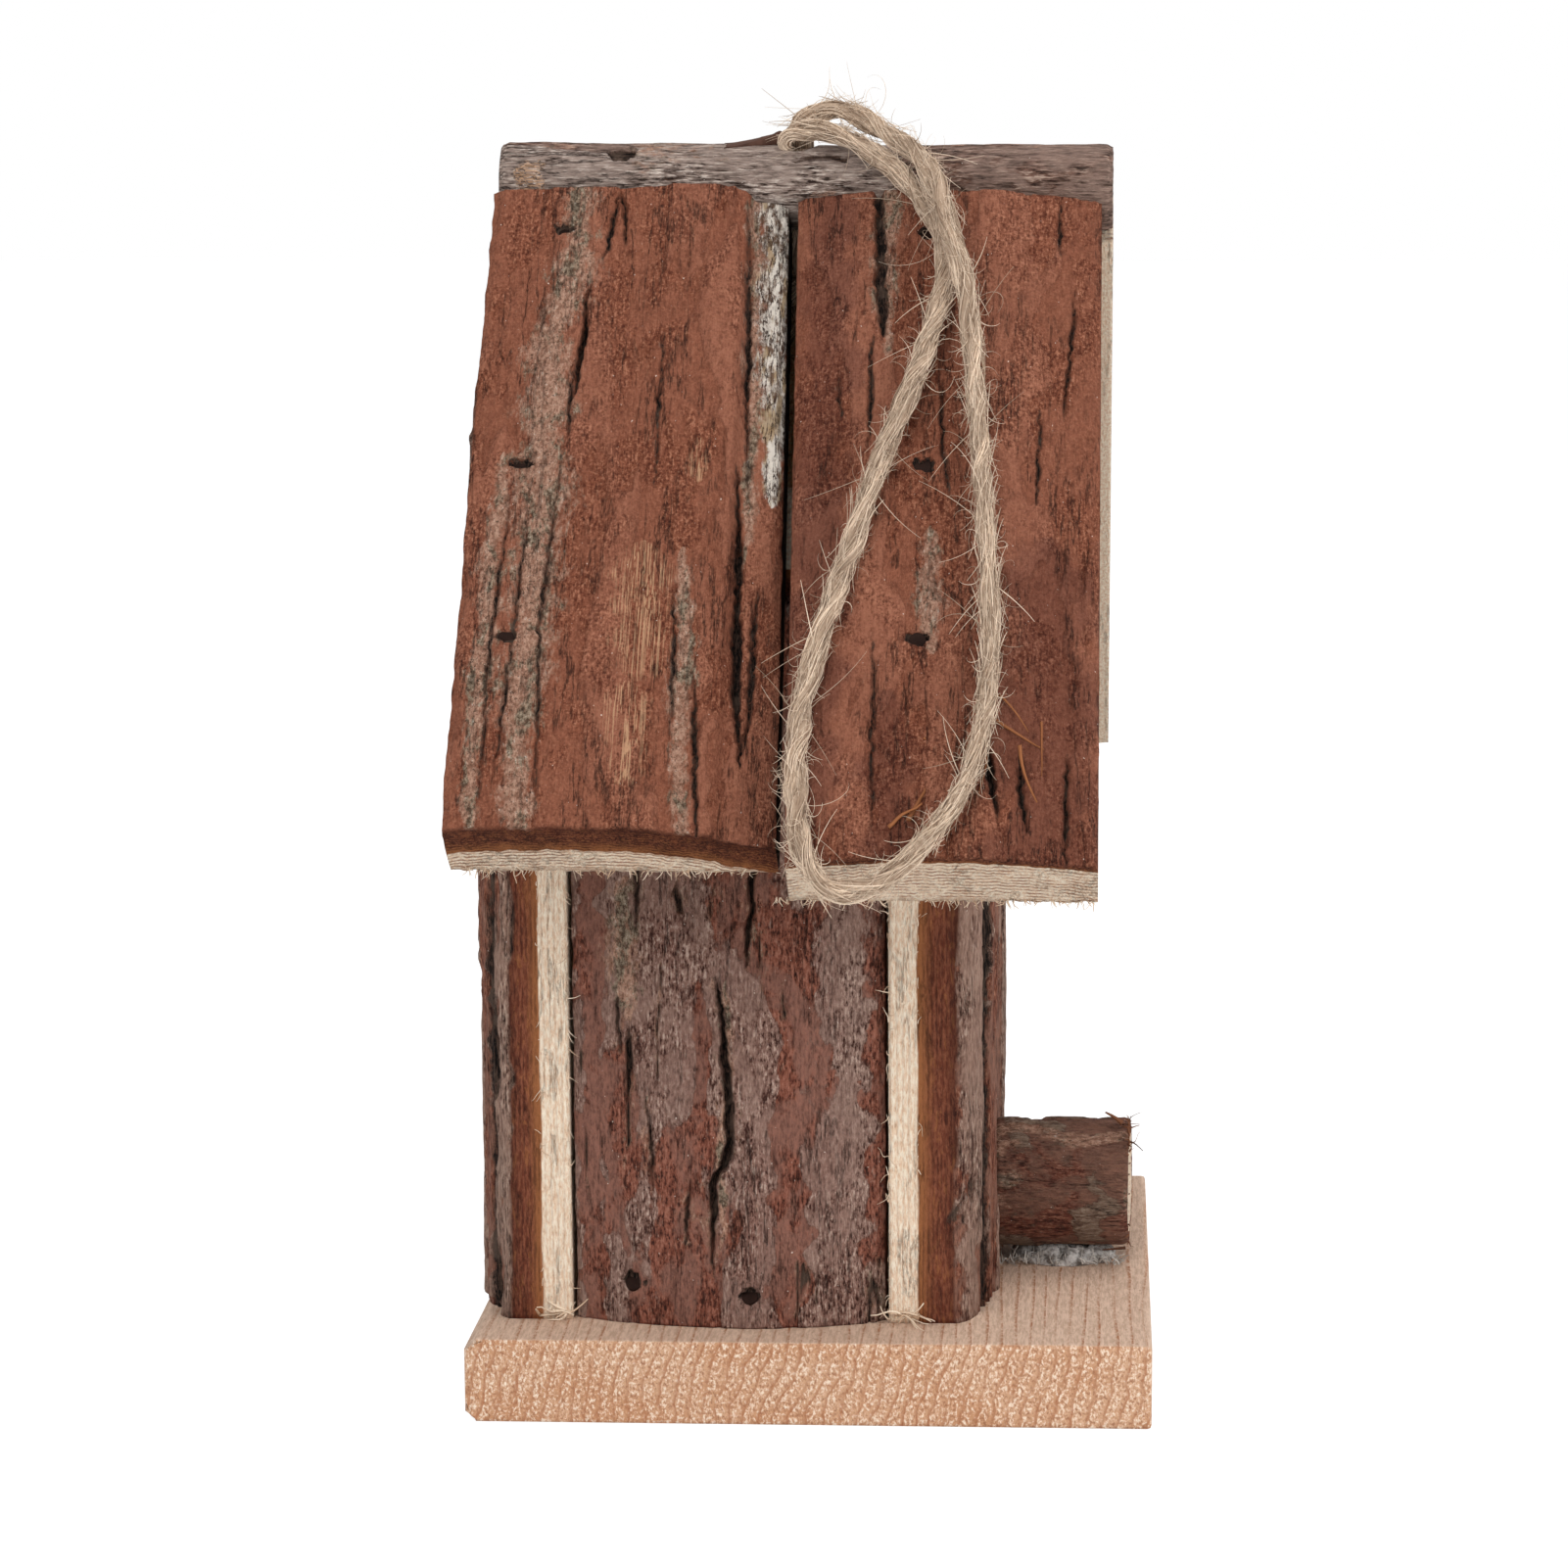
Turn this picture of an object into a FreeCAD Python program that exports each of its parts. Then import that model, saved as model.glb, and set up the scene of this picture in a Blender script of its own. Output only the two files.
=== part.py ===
import FreeCAD, Part
import math
import os

# A hanging birdhouse nailed together from bark-covered log offcuts on a planed board.
# Millimetres and degrees. X points out of the front, Y across the house, Z up.
# The origin is in the middle of the base board's underside.

# Base board
base_length = 93.0
base_width = 90.0
base_thick = 11.6
base_back_round = 3.0
base_arris = 0.6

# Walls: an edge is a slab's thickness at its sawn sides, a crown is how far its bark bulges above that
back_setback = 13.6
cavity_length = 43.5
cavity_width = 52.0
end_wall_width = 70.0
end_seam = 0.3
front_slab_edge = 9.8
front_slab_crown = 4.6
back_slab_edge = 8.8
back_slab_crown = 4.8
groove_width = 2.6
groove_depth = 1.1
front_groove_inset = 7.5
back_groove_inset = 4.0
side_slab_edge = 8.2
side_slab_crown = 4.2
entrance_dia = 30.0
entrance_rise = 60.0

# Roof: lengths run down the slope, the split is the gap between the back and front slabs
ridge_height = 157.5
roof_pitch = 51.0
back_roof_edge = 8.2
back_roof_crown = 3.4
front_roof_edge = 9.4
front_roof_crown = 2.2
left_back_side = 10.8
left_back_rise = 0.25
ledge_width = 7.2
ledge_run = 1.0
ledge_drop = 1.0
ledge_side = 7.3
back_slab_length = 100.0
front_slab_length = 104.0
roof_back_overhang = 11.4
roof_back_taper = 1.4
split_from_front_wall = 14.7
split_slant = 2.9
split_gap = 1.3
left_front_overhang = 28.2
right_front_overhang = 29.8
ridge_gap = 0.3

# Ridge pole and perch log
pole_dia = 11.6
pole_back_overhang = 11.7
pole_front_overhang = 29.7
perch_dia = 18.4
perch_length = 19.9
perch_lift = 1.8
glue_length = 15.0
glue_width = 13.0
glue_height = 3.6

# Hanging cord
cord_dia = 3.2
cord_hole_dia = 5.0
cord_hole_from_front_wall = 14.2
cord_recess = 0.1
knot_dia = 8.8
knot_end_length = 7.0
knot_end_splay = 20.0

# Brads: a sunk head under a small pit, and a plain shank
brad_dia = 1.3
brad_head_dia = 2.2
brad_head_thick = 0.7
brad_pit_dia = 2.6
brad_pit_depth = 0.6
brad_pit_reach = 5.0
roof_brad_length = 20.0
low_brad_length = 25.0
low_brad_drop = 6.0
roof_brad_from_cavity = 4.8
high_brad_slope = 7.2
left_high_brad_shift = 3.0
right_high_brad_shift = 2.6
middle_brad_slope = 45.3
low_brad_slope = 72.3
toe_brad_length = 15.0
toe_brad_angle = 45.0
toe_brad_back_rise = 6.2
toe_brad_front_rise = 4.8
toe_brad_back_offset = 13.1
toe_brad_front_offset = 2.9
base_brad_length = 25.0
ridge_brad_length = 20.0
ridge_brad_inset = 17.0

# Clearances
face_fit = 0.05
slab_fit = 0.15
perch_fit = 0.2
knot_fit = 0.2
hole_fit = 0.1
brad_fit = 0.02

# The cord's route in roof measures: x, distance down the slope, lift above the bark's crown.
# It leaves the hole at the far side of the loop, lies down the roof and comes back over the pole.
cord_route = (
    (-3.2, -12.7, -1.7), (-0.6, -13.7, -0.6), (3.0, -13.2, 0.9), (6.8, -9.9, 2.1), (10.4, -6.3, 3.1),
    (13.8, -2.2, 4.6), (16.2, 2.8, 5.7), (17.4, 7.0, 6.2), (18.7, 13.0, 6.0), (20.2, 17.8, 5.0),
    (21.0, 22.0, 3.7), (21.6, 27.7, 2.6), (22.4, 36.6, 2.3), (23.2, 46.2, 2.2), (23.8, 55.3, 2.1),
    (24.6, 64.3, 2.1), (24.9, 73.2, 2.0), (24.7, 82.2, 2.1), (23.6, 90.2, 2.2), (21.5, 96.6, 2.3),
    (18.9, 101.1, 2.4), (16.0, 105.0, 2.4), (13.0, 108.1, 2.2), (10.5, 109.8, 1.9), (7.4, 110.1, 1.5),
    (4.5, 108.8, 1.1), (2.8, 106.3, 0.8), (1.5, 102.4, 0.5), (0.8, 97.4, 0.4), (0.5, 91.0, 0.4),
    (0.9, 83.2, 0.5), (2.4, 75.4, 0.8), (4.4, 67.3, 1.2), (6.7, 58.7, 1.5),
    (8.8, 50.0, 1.7), (11.5, 41.0, 2.0), (14.4, 32.8, 2.3), (16.3, 24.6, 2.4), (17.7, 18.8, 2.4),
    (18.0, 13.3, 2.4), (16.7, 8.2, 2.4), (14.6, 4.0, 2.3), (12.4, 0.8, 2.2), (9.8, -2.3, 2.1),
    (6.9, -5.3, 1.6), (4.0, -7.8, 1.0), (0.7, -9.5, 0.6), (-2.3, -9.9, 0.4), (-5.2, -9.5, -0.2),
)
cord_run_share = 0.45

# Places worked out from the sizes above
Vector = FreeCAD.Vector
ALONG = Vector(1, 0, 0)
ACROSS = Vector(0, 1, 0)
UP = Vector(0, 0, 1)
SKEW = Vector(0.7, 0.4, 0.3)
BEYOND = 200.0
LEFT = -1
RIGHT = 1

back_inner_x = -base_length / 2 + back_setback
front_inner_x = back_inner_x + cavity_length
cavity_middle_x = (back_inner_x + front_inner_x) / 2
side_inner_y = cavity_width / 2
end_slab_width = (end_wall_width - end_seam) / 2
end_slab_middle_y = (end_seam + end_slab_width) / 2
side_slab_width = cavity_length - 2 * slab_fit
slope = math.radians(roof_pitch)
ridge_slip = ridge_gap / 2 / math.cos(slope)
roof_back_x = back_inner_x - roof_back_overhang
split_x = front_inner_x - split_from_front_wall
pole_radius = pole_dia / 2
pole_rise = (pole_radius + face_fit - ridge_gap / 2 * math.cos(slope)) / math.sin(slope)
pole_z = ridge_height - ridge_gap / 2 * math.tan(slope) + pole_rise
pole_back_x = back_inner_x - pole_back_overhang
pole_front_x = front_inner_x + pole_front_overhang
cord_hole_x = front_inner_x - cord_hole_from_front_wall
perch_radius = perch_dia / 2
perch_z = base_thick + perch_lift + perch_radius


def down_slope(side):
    """Unit vector down the roof on the given side."""
    return Vector(0, side * math.cos(slope), -math.sin(slope))


def out_of_roof(side):
    """Unit vector square out of the roof on the given side."""
    return Vector(0, side * math.sin(slope), math.cos(slope))


def on_roof(side, x, distance, height):
    """Point at a distance down the slope and a height above the roof's inner face."""
    return Vector(x, 0, ridge_height) + down_slope(side) * distance + out_of_roof(side) * height


def bark_height(width, edge, crown, offset):
    """Height of a slab's round bark face above its flat face, at an offset from its middle."""
    half = width / 2
    radius = (half * half + crown * crown) / (2 * crown)
    return edge + crown - radius + math.sqrt(radius * radius - offset * offset)


def slab_blank(width, edge, crown, length):
    """A log offcut: flat face on Y = 0, bark bulging to +Y, grain along +Z, centred on X."""
    half = width / 2
    outline = [
        Part.makeLine(Vector(-half, 0, 0), Vector(half, 0, 0)),
        Part.makeLine(Vector(half, 0, 0), Vector(half, edge, 0)),
        Part.Arc(Vector(half, edge, 0), Vector(0, edge + crown, 0), Vector(-half, edge, 0)).toShape(),
        Part.makeLine(Vector(-half, edge, 0), Vector(-half, 0, 0)),
    ]
    return Part.Face(Part.Wire(outline)).extrude(UP * length)


def left_back_arc(width):
    """The left back roof slab's bark line, from its thick back side to the ledge along its front side."""
    half = width / 2
    ledge = half - ledge_width - ledge_run
    back = Vector(-half, left_back_side, 0)
    top = Vector(0, back_roof_edge + back_roof_crown + left_back_rise, 0)
    front = Vector(ledge, bark_height(width, back_roof_edge, back_roof_crown, ledge), 0)
    return Part.ArcOfCircle(front, top, back)


def left_back_blank(width, length):
    """The left back roof slab before its edges are sawn: its bark drops to a ledge along its front side."""
    half = width / 2
    arc = left_back_arc(width)
    ledge = arc.StartPoint + Vector(ledge_run, -ledge_drop, 0)
    outline = [
        Part.makeLine(Vector(-half, 0, 0), Vector(half, 0, 0)),
        Part.makeLine(Vector(half, 0, 0), Vector(half, ledge_side, 0)),
        Part.makeLine(Vector(half, ledge_side, 0), ledge),
        Part.makeLine(ledge, arc.StartPoint),
        arc.toShape(),
        Part.makeLine(arc.EndPoint, Vector(-half, 0, 0)),
    ]
    return Part.Face(Part.Wire(outline)).extrude(UP * length)


def placed(shape, origin, across, bark, grain):
    """The shape with its own X, Y and Z axes laid along across, bark and grain."""
    matrix = FreeCAD.Matrix(
        across.x, bark.x, grain.x, origin.x,
        across.y, bark.y, grain.y, origin.y,
        across.z, bark.z, grain.z, origin.z,
        0, 0, 0, 1)
    moved = shape.copy()
    moved.Placement = FreeCAD.Placement(matrix)
    return moved


def polygon_prism(points, along):
    """The closed outline of the points, swept along a vector."""
    return Part.Face(Part.makePolygon(list(points) + [points[0]])).extrude(along)


def groove_cut(middle, aside):
    """A three-sided bar up the grain that cuts a groove into the bark at a point, aside being along the bark."""
    aside = aside.normalize()
    inward = Vector(aside.y, -aside.x, 0)
    if inward.y > 0:
        inward = inward * -1
    mouth = middle - inward * groove_depth
    corners = [mouth - aside * groove_width, mouth + aside * groove_width, middle + inward * groove_depth]
    return polygon_prism(corners, UP * ridge_height)


def house_envelope():
    """The space over the base and under the roof slabs, which trims the tops of the walls."""
    apex = ridge_height - face_fit / math.cos(slope)
    reach = end_wall_width
    low = apex - reach * math.tan(slope)
    outline = [
        Vector(-BEYOND, -reach, base_thick), Vector(-BEYOND, -reach, low), Vector(-BEYOND, 0, apex),
        Vector(-BEYOND, reach, low), Vector(-BEYOND, reach, base_thick),
    ]
    return polygon_prism(outline, ALONG * 2 * BEYOND)


def end_slab(bark, inner_x, edge, crown, inset, side):
    """Half of an end wall, with a groove down its bark near the outer side; bark is +1 on the front wall
    and -1 on the back wall."""
    blank = slab_blank(end_slab_width, edge, crown, ridge_height)
    out = -bark * side
    groove = out * (end_slab_width / 2 - inset)
    face = bark_height(end_slab_width, edge, crown, groove)
    beyond = bark_height(end_slab_width, edge, crown, groove + out)
    blank = blank.cut(groove_cut(Vector(groove, face, 0), Vector(out, beyond - face, 0)))
    origin = Vector(inner_x, side * end_slab_middle_y, 0)
    return placed(blank, origin, ACROSS * -bark, ALONG * bark, UP).common(house_envelope())


def front_slab(side):
    """Half of the front wall, with half of the round entrance in its inner edge."""
    centre = Vector(0, 0, base_thick + entrance_rise)
    entrance = Part.makeCylinder(entrance_dia / 2, BEYOND, centre, ALONG)
    slab = end_slab(1, front_inner_x, front_slab_edge, front_slab_crown, front_groove_inset, side)
    return slab.cut(entrance)


def back_slab(side):
    """Half of the back wall."""
    return end_slab(-1, back_inner_x, back_slab_edge, back_slab_crown, back_groove_inset, side)


def side_wall(side):
    """The one slab that closes a side between the end walls."""
    blank = slab_blank(side_slab_width, side_slab_edge, side_slab_crown, ridge_height)
    origin = Vector(cavity_middle_x, side * side_inner_y, 0)
    return placed(blank, origin, ALONG * side, ACROSS * side, UP).common(house_envelope())


def roof_plan(side, place):
    """X of a roof slab's back and front edges at the ridge and at the eave, and its length."""
    if place == "back":
        back = (roof_back_x, roof_back_x + roof_back_taper)
        front = (split_x - split_gap / 2, split_x - split_gap / 2 + split_slant)
        return back, front, back_slab_length
    overhang = left_front_overhang if side == LEFT else right_front_overhang
    back = (split_x + split_gap / 2, split_x + split_gap / 2 + split_slant)
    front = (front_inner_x + overhang, front_inner_x + overhang)
    return back, front, front_slab_length


def roof_spread(back, front):
    """Middle and greatest width of a roof slab from its edges."""
    return (min(back) + max(front)) / 2, max(front) - min(back)


def roof_bark(place):
    """Edge and crown of a roof slab's round bark face."""
    if place == "back":
        return back_roof_edge, back_roof_crown
    return front_roof_edge, front_roof_crown


def roof_slab(side, place):
    """A roof offcut, sawn square at the ridge and the eave, with its edges sawn a little out of line."""
    back, front, length = roof_plan(side, place)
    middle, width = roof_spread(back, front)
    if (side, place) == (LEFT, "back"):
        blank = left_back_blank(width, length)
    else:
        blank = slab_blank(width, *roof_bark(place), length)
    turn = -side
    plan = [
        Vector(turn * (back[0] - middle), 0, 0), Vector(turn * (front[0] - middle), 0, 0),
        Vector(turn * (front[1] - middle), 0, length), Vector(turn * (back[1] - middle), 0, length),
    ]
    trimmed = blank.common(polygon_prism(plan, ACROSS * BEYOND))
    origin = on_roof(side, middle, ridge_slip, 0)
    return placed(trimmed, origin, ALONG * turn, out_of_roof(side), down_slope(side))


def brad(head, direction, length):
    """One brad from the middle of its head's outer face."""
    shank_start = head + direction * brad_head_thick
    cap = Part.makeCylinder(brad_head_dia / 2, brad_head_thick, head, direction)
    shank = Part.makeCylinder(brad_dia / 2, length - brad_head_thick, shank_start, direction)
    return cap.fuse(shank).removeSplitter()


def brad_bore(head, direction, length):
    """What one brad takes out of the wood, turned as one profile: the pit over its head and its hole."""
    aside = direction.cross(SKEW).normalize()
    pit = brad_pit_dia / 2
    hole = brad_dia / 2 + brad_fit
    tip = length + brad_fit
    profile = (
        (0, -brad_pit_reach), (pit, -brad_pit_reach), (pit, brad_head_thick),
        (hole, brad_head_thick), (hole, tip), (0, tip),
    )
    points = [head + aside * radius + direction * depth for radius, depth in profile]
    return Part.Face(Part.makePolygon(points + [points[0]])).revolve(head, direction, 360)


def brad_height(side, place, x):
    """Height of a sunk brad's head above the inner face of a roof slab."""
    middle, width = roof_spread(*roof_plan(side, place)[:2])
    if (side, place) == (LEFT, "back"):
        arc = left_back_arc(width)
        away = x - middle - arc.Center.x
        return arc.Center.y + math.sqrt(arc.Radius ** 2 - away * away) - brad_pit_depth
    return bark_height(width, *roof_bark(place), x - middle) - brad_pit_depth


def roof_brad_places():
    """Heads, directions and lengths of the brads through the roof into the end walls. The high ones stand
    apart, left from right, because they cross under the ridge."""
    places = []
    drop = math.radians(low_brad_drop)
    brad_x = {"back": back_inner_x - roof_brad_from_cavity, "front": front_inner_x + roof_brad_from_cavity}
    shifts = {(LEFT, "back"): left_high_brad_shift, (RIGHT, "front"): right_high_brad_shift}
    for side in (LEFT, RIGHT):
        for place, x in brad_x.items():
            high_x = x + shifts.get((side, place), 0)
            square = out_of_roof(side) * -1
            slanting = Vector(0, -side * math.cos(drop), -math.sin(drop))
            high = on_roof(side, high_x, high_brad_slope, brad_height(side, place, high_x))
            places.append((high, square, roof_brad_length))
            height = brad_height(side, place, x)
            places.append((on_roof(side, x, middle_brad_slope, height), square, roof_brad_length))
            places.append((on_roof(side, x, low_brad_slope, height), slanting, low_brad_length))
    return places


def toe_brad_places():
    """Heads, directions and lengths of the brads slanting through the side walls into the base."""
    places = []
    angle = math.radians(toe_brad_angle)
    back = (-toe_brad_back_offset, toe_brad_back_rise)
    front = (toe_brad_front_offset, toe_brad_front_rise)
    for side in (LEFT, RIGHT):
        inward = Vector(0, -side * math.cos(angle), -math.sin(angle))
        for offset, rise in (back, front):
            height = bark_height(side_slab_width, side_slab_edge, side_slab_crown, offset)
            face = Vector(cavity_middle_x + offset, side * (side_inner_y + height), base_thick + rise)
            places.append((face + inward * brad_pit_depth, inward, toe_brad_length))
    return places


def base_brad_places():
    """Heads, directions and lengths of the brads up through the base into the end walls."""
    places = []
    for x in (back_inner_x - back_slab_edge / 2, front_inner_x + front_slab_edge / 2):
        for side in (LEFT, RIGHT):
            head = Vector(x, side * end_slab_middle_y, brad_pit_depth)
            places.append((head, UP, base_brad_length))
    return places


def ridge_brad_places():
    """Heads, directions and lengths of the two brads through the pole into the tops of the roof slabs."""
    places = []
    for x, side in ((pole_back_x + ridge_brad_inset, RIGHT), (pole_front_x - ridge_brad_inset, LEFT)):
        direction = down_slope(side)
        head = Vector(x, 0, pole_z) - direction * (pole_radius - brad_pit_depth)
        places.append((head, direction, ridge_brad_length))
    return places


def base_board():
    """Planed board with a rounded back arris and lightly broken edges."""
    corner = Vector(-base_length / 2, -base_width / 2, 0)
    board = Part.makeBox(base_length, base_width, base_thick, corner)
    back_edges = []
    for edge in board.Edges:
        box = edge.BoundBox
        if box.XMax < -base_length / 2 + base_arris and box.YLength > base_width / 2:
            back_edges.append(edge)
    board = board.makeFillet(base_back_round, back_edges)
    front_edges = [edge for edge in board.Edges if edge.BoundBox.XMin > base_length / 2 - base_arris]
    return board.makeChamfer(base_arris, front_edges)


def ridge_pole():
    """Round stick lying in the groove between the tops of the roof slabs."""
    start = Vector(pole_back_x, 0, pole_z)
    return Part.makeCylinder(pole_radius, pole_front_x - pole_back_x, start, ALONG)


def perch_log():
    """Short log on the porch, its back end against the bulge of the front wall."""
    offset = max(0.0, end_slab_middle_y - perch_radius)
    wall_x = front_inner_x + bark_height(end_slab_width, front_slab_edge, front_slab_crown, offset)
    start = Vector(wall_x + perch_fit, 0, perch_z)
    return Part.makeCylinder(perch_radius, perch_length, start, ALONG)


def perch_glue():
    """Flat bead of glue on the base that the perch log is pressed into."""
    log = perch_log()
    start_x = log.BoundBox.XMin + (perch_length - glue_length) / 2
    half = glue_width / 2
    near = Vector(start_x, -half, base_thick)
    far = Vector(start_x, half, base_thick)
    top = Vector(start_x, 0, base_thick + glue_height)
    outline = Part.Wire([Part.Arc(near, top, far).toShape(), Part.makeLine(far, near)])
    bead = Part.Face(outline).extrude(ALONG * glue_length)
    seat = Part.makeCylinder(perch_radius + face_fit, BEYOND, Vector(start_x - BEYOND / 2, 0, perch_z), ALONG)
    return bead.cut(seat)


def cord_hole():
    """The hole drilled down through the pole and the ridge."""
    low = knot_z()
    return Part.makeCylinder(cord_hole_dia / 2, BEYOND, Vector(cord_hole_x, 0, low), UP)


def knot_z():
    """Height of the knot's centre, drawn up under the roof's inner faces."""
    return ridge_height - (knot_dia / 2 + knot_fit) / math.cos(slope)


def hanger_tail():
    """Both ends of the cord squeezed together in the hole, their knot, and the cut ends below it."""
    centre = Vector(cord_hole_x, 0, knot_z())
    top = pole_z + pole_radius - cord_recess
    plug = Part.makeCylinder(cord_hole_dia / 2 - hole_fit, top - centre.z, centre, UP)
    knot = Part.makeSphere(knot_dia / 2, centre)
    tail = plug.fuse(knot)
    splay = math.radians(knot_end_splay)
    for side in (LEFT, RIGHT):
        direction = Vector(side * math.sin(splay), 0, -math.cos(splay))
        tail = tail.fuse(Part.makeCylinder(cord_dia / 2, knot_dia / 2 + knot_end_length, centre, direction))
    return tail.removeSplitter()


def rounded_path(points):
    """Straight runs joined by tangent arcs, each as large as its shorter run allows, and their radii."""
    edges = []
    radii = []
    start = points[0]
    for before, here, after in zip(points, points[1:], points[2:]):
        incoming = here - before
        outgoing = after - here
        turn = incoming.getAngle(outgoing)
        setback = cord_run_share * min(incoming.Length, outgoing.Length)
        radius = setback / math.tan(turn / 2)
        arc_start = here - incoming.normalize() * setback
        arc_end = here + outgoing.normalize() * setback
        inside = (outgoing - incoming).normalize()
        middle = here + inside * (radius / math.cos(turn / 2) - radius)
        edges.append(Part.LineSegment(start, arc_start).toShape())
        edges.append(Part.Arc(arc_start, middle, arc_end).toShape())
        radii.append(radius)
        start = arc_end
    edges.append(Part.LineSegment(start, points[-1]).toShape())
    return Part.Wire(edges), radii


def hanger_loop():
    """The free loop of the cord, one tube from the hole, down the left roof and back."""
    crown = front_roof_edge + front_roof_crown
    points = [on_roof(LEFT, x, distance, crown + lift) for x, distance, lift in cord_route]
    path, radii = rounded_path(points)
    heading = (points[1] - points[0]).normalize()
    ring = Part.Wire(Part.makeCircle(cord_dia / 2, points[0], heading))
    tube = path.makePipeShell([ring], True, False)
    section = math.pi * cord_dia * cord_dia / 4
    print("cord length %.1f, least radius %.1f" % (path.Length, min(radii)))
    print("cord radii", " ".join("%.0f" % radius for radius in radii))
    print("cord volume over section times length %.4f" % (tube.Volume / (section * path.Length)))
    return tube


def drilled(shape, bores):
    """The shape less every bore that reaches it."""
    for bore in bores:
        if shape.BoundBox.intersect(bore.BoundBox):
            shape = shape.cut(bore)
    return shape


brad_places = {
    "roof_brads": roof_brad_places(),
    "toe_brads": toe_brad_places(),
    "base_brads": base_brad_places(),
    "ridge_brads": ridge_brad_places(),
}
bores = [brad_bore(*place) for places in brad_places.values() for place in places]
bores.append(cord_hole())

nodes = {
    "base_board": drilled(base_board(), bores),
    "front_left_slab": drilled(front_slab(LEFT), bores),
    "front_right_slab": drilled(front_slab(RIGHT), bores),
    "back_left_slab": drilled(back_slab(LEFT), bores),
    "back_right_slab": drilled(back_slab(RIGHT), bores),
    "left_wall_slab": drilled(side_wall(LEFT), bores),
    "right_wall_slab": drilled(side_wall(RIGHT), bores),
    "left_roof_back_slab": drilled(roof_slab(LEFT, "back"), bores),
    "left_roof_front_slab": drilled(roof_slab(LEFT, "front"), bores),
    "right_roof_back_slab": drilled(roof_slab(RIGHT, "back"), bores),
    "right_roof_front_slab": drilled(roof_slab(RIGHT, "front"), bores),
    "ridge_pole": drilled(ridge_pole(), bores),
    "perch_log": perch_log(),
    "perch_glue": perch_glue(),
    "hanger_tail": hanger_tail(),
    "hanger_loop": hanger_loop(),
}
for name, places in brad_places.items():
    nodes[name] = Part.makeCompound([brad(*place) for place in places])

os.makedirs("parts", exist_ok=True)
for name, shape in nodes.items():
    if not shape.isValid():
        raise ValueError("the shape of " + name + " is not valid")
    shape.exportStep("parts/" + name + ".step")
    print(name, "solids", len(shape.Solids), "volume %.0f" % shape.Volume)
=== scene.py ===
import bpy
import math
import numpy as np
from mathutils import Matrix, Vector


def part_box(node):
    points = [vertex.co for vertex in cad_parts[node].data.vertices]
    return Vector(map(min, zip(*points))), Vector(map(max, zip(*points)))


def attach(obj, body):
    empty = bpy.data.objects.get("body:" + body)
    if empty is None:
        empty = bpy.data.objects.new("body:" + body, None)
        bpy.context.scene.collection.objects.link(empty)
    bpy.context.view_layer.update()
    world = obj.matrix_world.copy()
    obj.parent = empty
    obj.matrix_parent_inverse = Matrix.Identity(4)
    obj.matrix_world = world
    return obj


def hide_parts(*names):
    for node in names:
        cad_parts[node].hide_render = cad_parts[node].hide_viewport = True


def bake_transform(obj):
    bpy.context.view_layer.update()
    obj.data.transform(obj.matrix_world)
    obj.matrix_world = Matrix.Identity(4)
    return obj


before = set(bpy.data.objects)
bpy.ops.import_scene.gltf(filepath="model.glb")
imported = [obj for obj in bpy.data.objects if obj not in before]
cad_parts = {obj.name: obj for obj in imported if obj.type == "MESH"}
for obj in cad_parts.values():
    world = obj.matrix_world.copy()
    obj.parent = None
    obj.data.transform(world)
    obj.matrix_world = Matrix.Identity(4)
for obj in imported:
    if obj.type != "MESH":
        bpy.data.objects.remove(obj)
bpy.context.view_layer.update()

# Base board
# A planed softwood board, crosscut so that its near and far faces are rough end grain.
# Its back edge is rounded over, and brads driven up through it hold the end walls.
MM = 0.001
base_low, base_high = (np.array(corner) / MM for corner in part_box("base_board"))
base_round = 3
base_arris = 0.5
base_brad_x = (-37.3, 15.5)
base_brad_y = 17.6
pit_rim, pit_floor, pit_depth = 1.5, 1.1, 0.9


def smooth(value, low, high):
    """Eased step from 0 at low to 1 at high."""
    t = np.clip((value - low) / (high - low), 0, 1)
    return t * t * (3 - 2 * t)


def chance(i, j, seed):
    """A fixed random number from 0 to 1 for each pair of whole numbers, by mixing their bits."""
    mixed = (i * 374761393 + j * 668265263 + seed * 974711) & 0xFFFFFFFF
    mixed = ((mixed ^ (mixed >> 13)) * 1274126177) & 0xFFFFFFFF
    return (mixed ^ (mixed >> 16)) / 0xFFFFFFFF


def noise(u, v, seed):
    """Value noise from -1 to 1: chances at whole places, eased between them."""
    i = np.floor(u).astype(np.int64)
    j = np.floor(v).astype(np.int64)
    s = smooth(u - i, 0, 1)
    t = smooth(v - j, 0, 1)
    low = chance(i, j, seed) * (1 - s) + chance(i + 1, j, seed) * s
    high = chance(i, j + 1, seed) * (1 - s) + chance(i + 1, j + 1, seed) * s
    return 2 * (low * (1 - t) + high * t) - 1


def fractal(u, v, seed, octaves=4):
    """Noise summed over octaves, each twice as fine and half as strong as the one before."""
    total = 0
    for octave in range(octaves):
        total = total + noise(u * 2 ** octave, v * 2 ** octave, seed + 17 * octave) / 2 ** octave
    return total / (2 - 2 / 2 ** octaves)


def block_skin(columns, layers, rows):
    """Skin of a unit block as a lattice: its points, each once, and quads that face outwards."""
    shape = (columns + 1, layers + 1, rows + 1)
    shell = np.ones(shape, bool)
    shell[1:-1, 1:-1, 1:-1] = False
    index = np.zeros(shape, int)
    index[shell] = np.arange(shell.sum())
    quads = []
    for axis in range(3):
        for end in (0, -1):
            sheet = np.take(index, end, axis=axis)
            corners = [sheet[:-1, :-1], sheet[1:, :-1], sheet[1:, 1:], sheet[:-1, 1:]]
            if (end == 0) != (axis == 1):
                corners.reverse()
            quads.append(np.stack(corners, -1).reshape(-1, 4))
    return (np.argwhere(shell) / (columns, layers, rows)).T, np.concatenate(quads)


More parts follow.
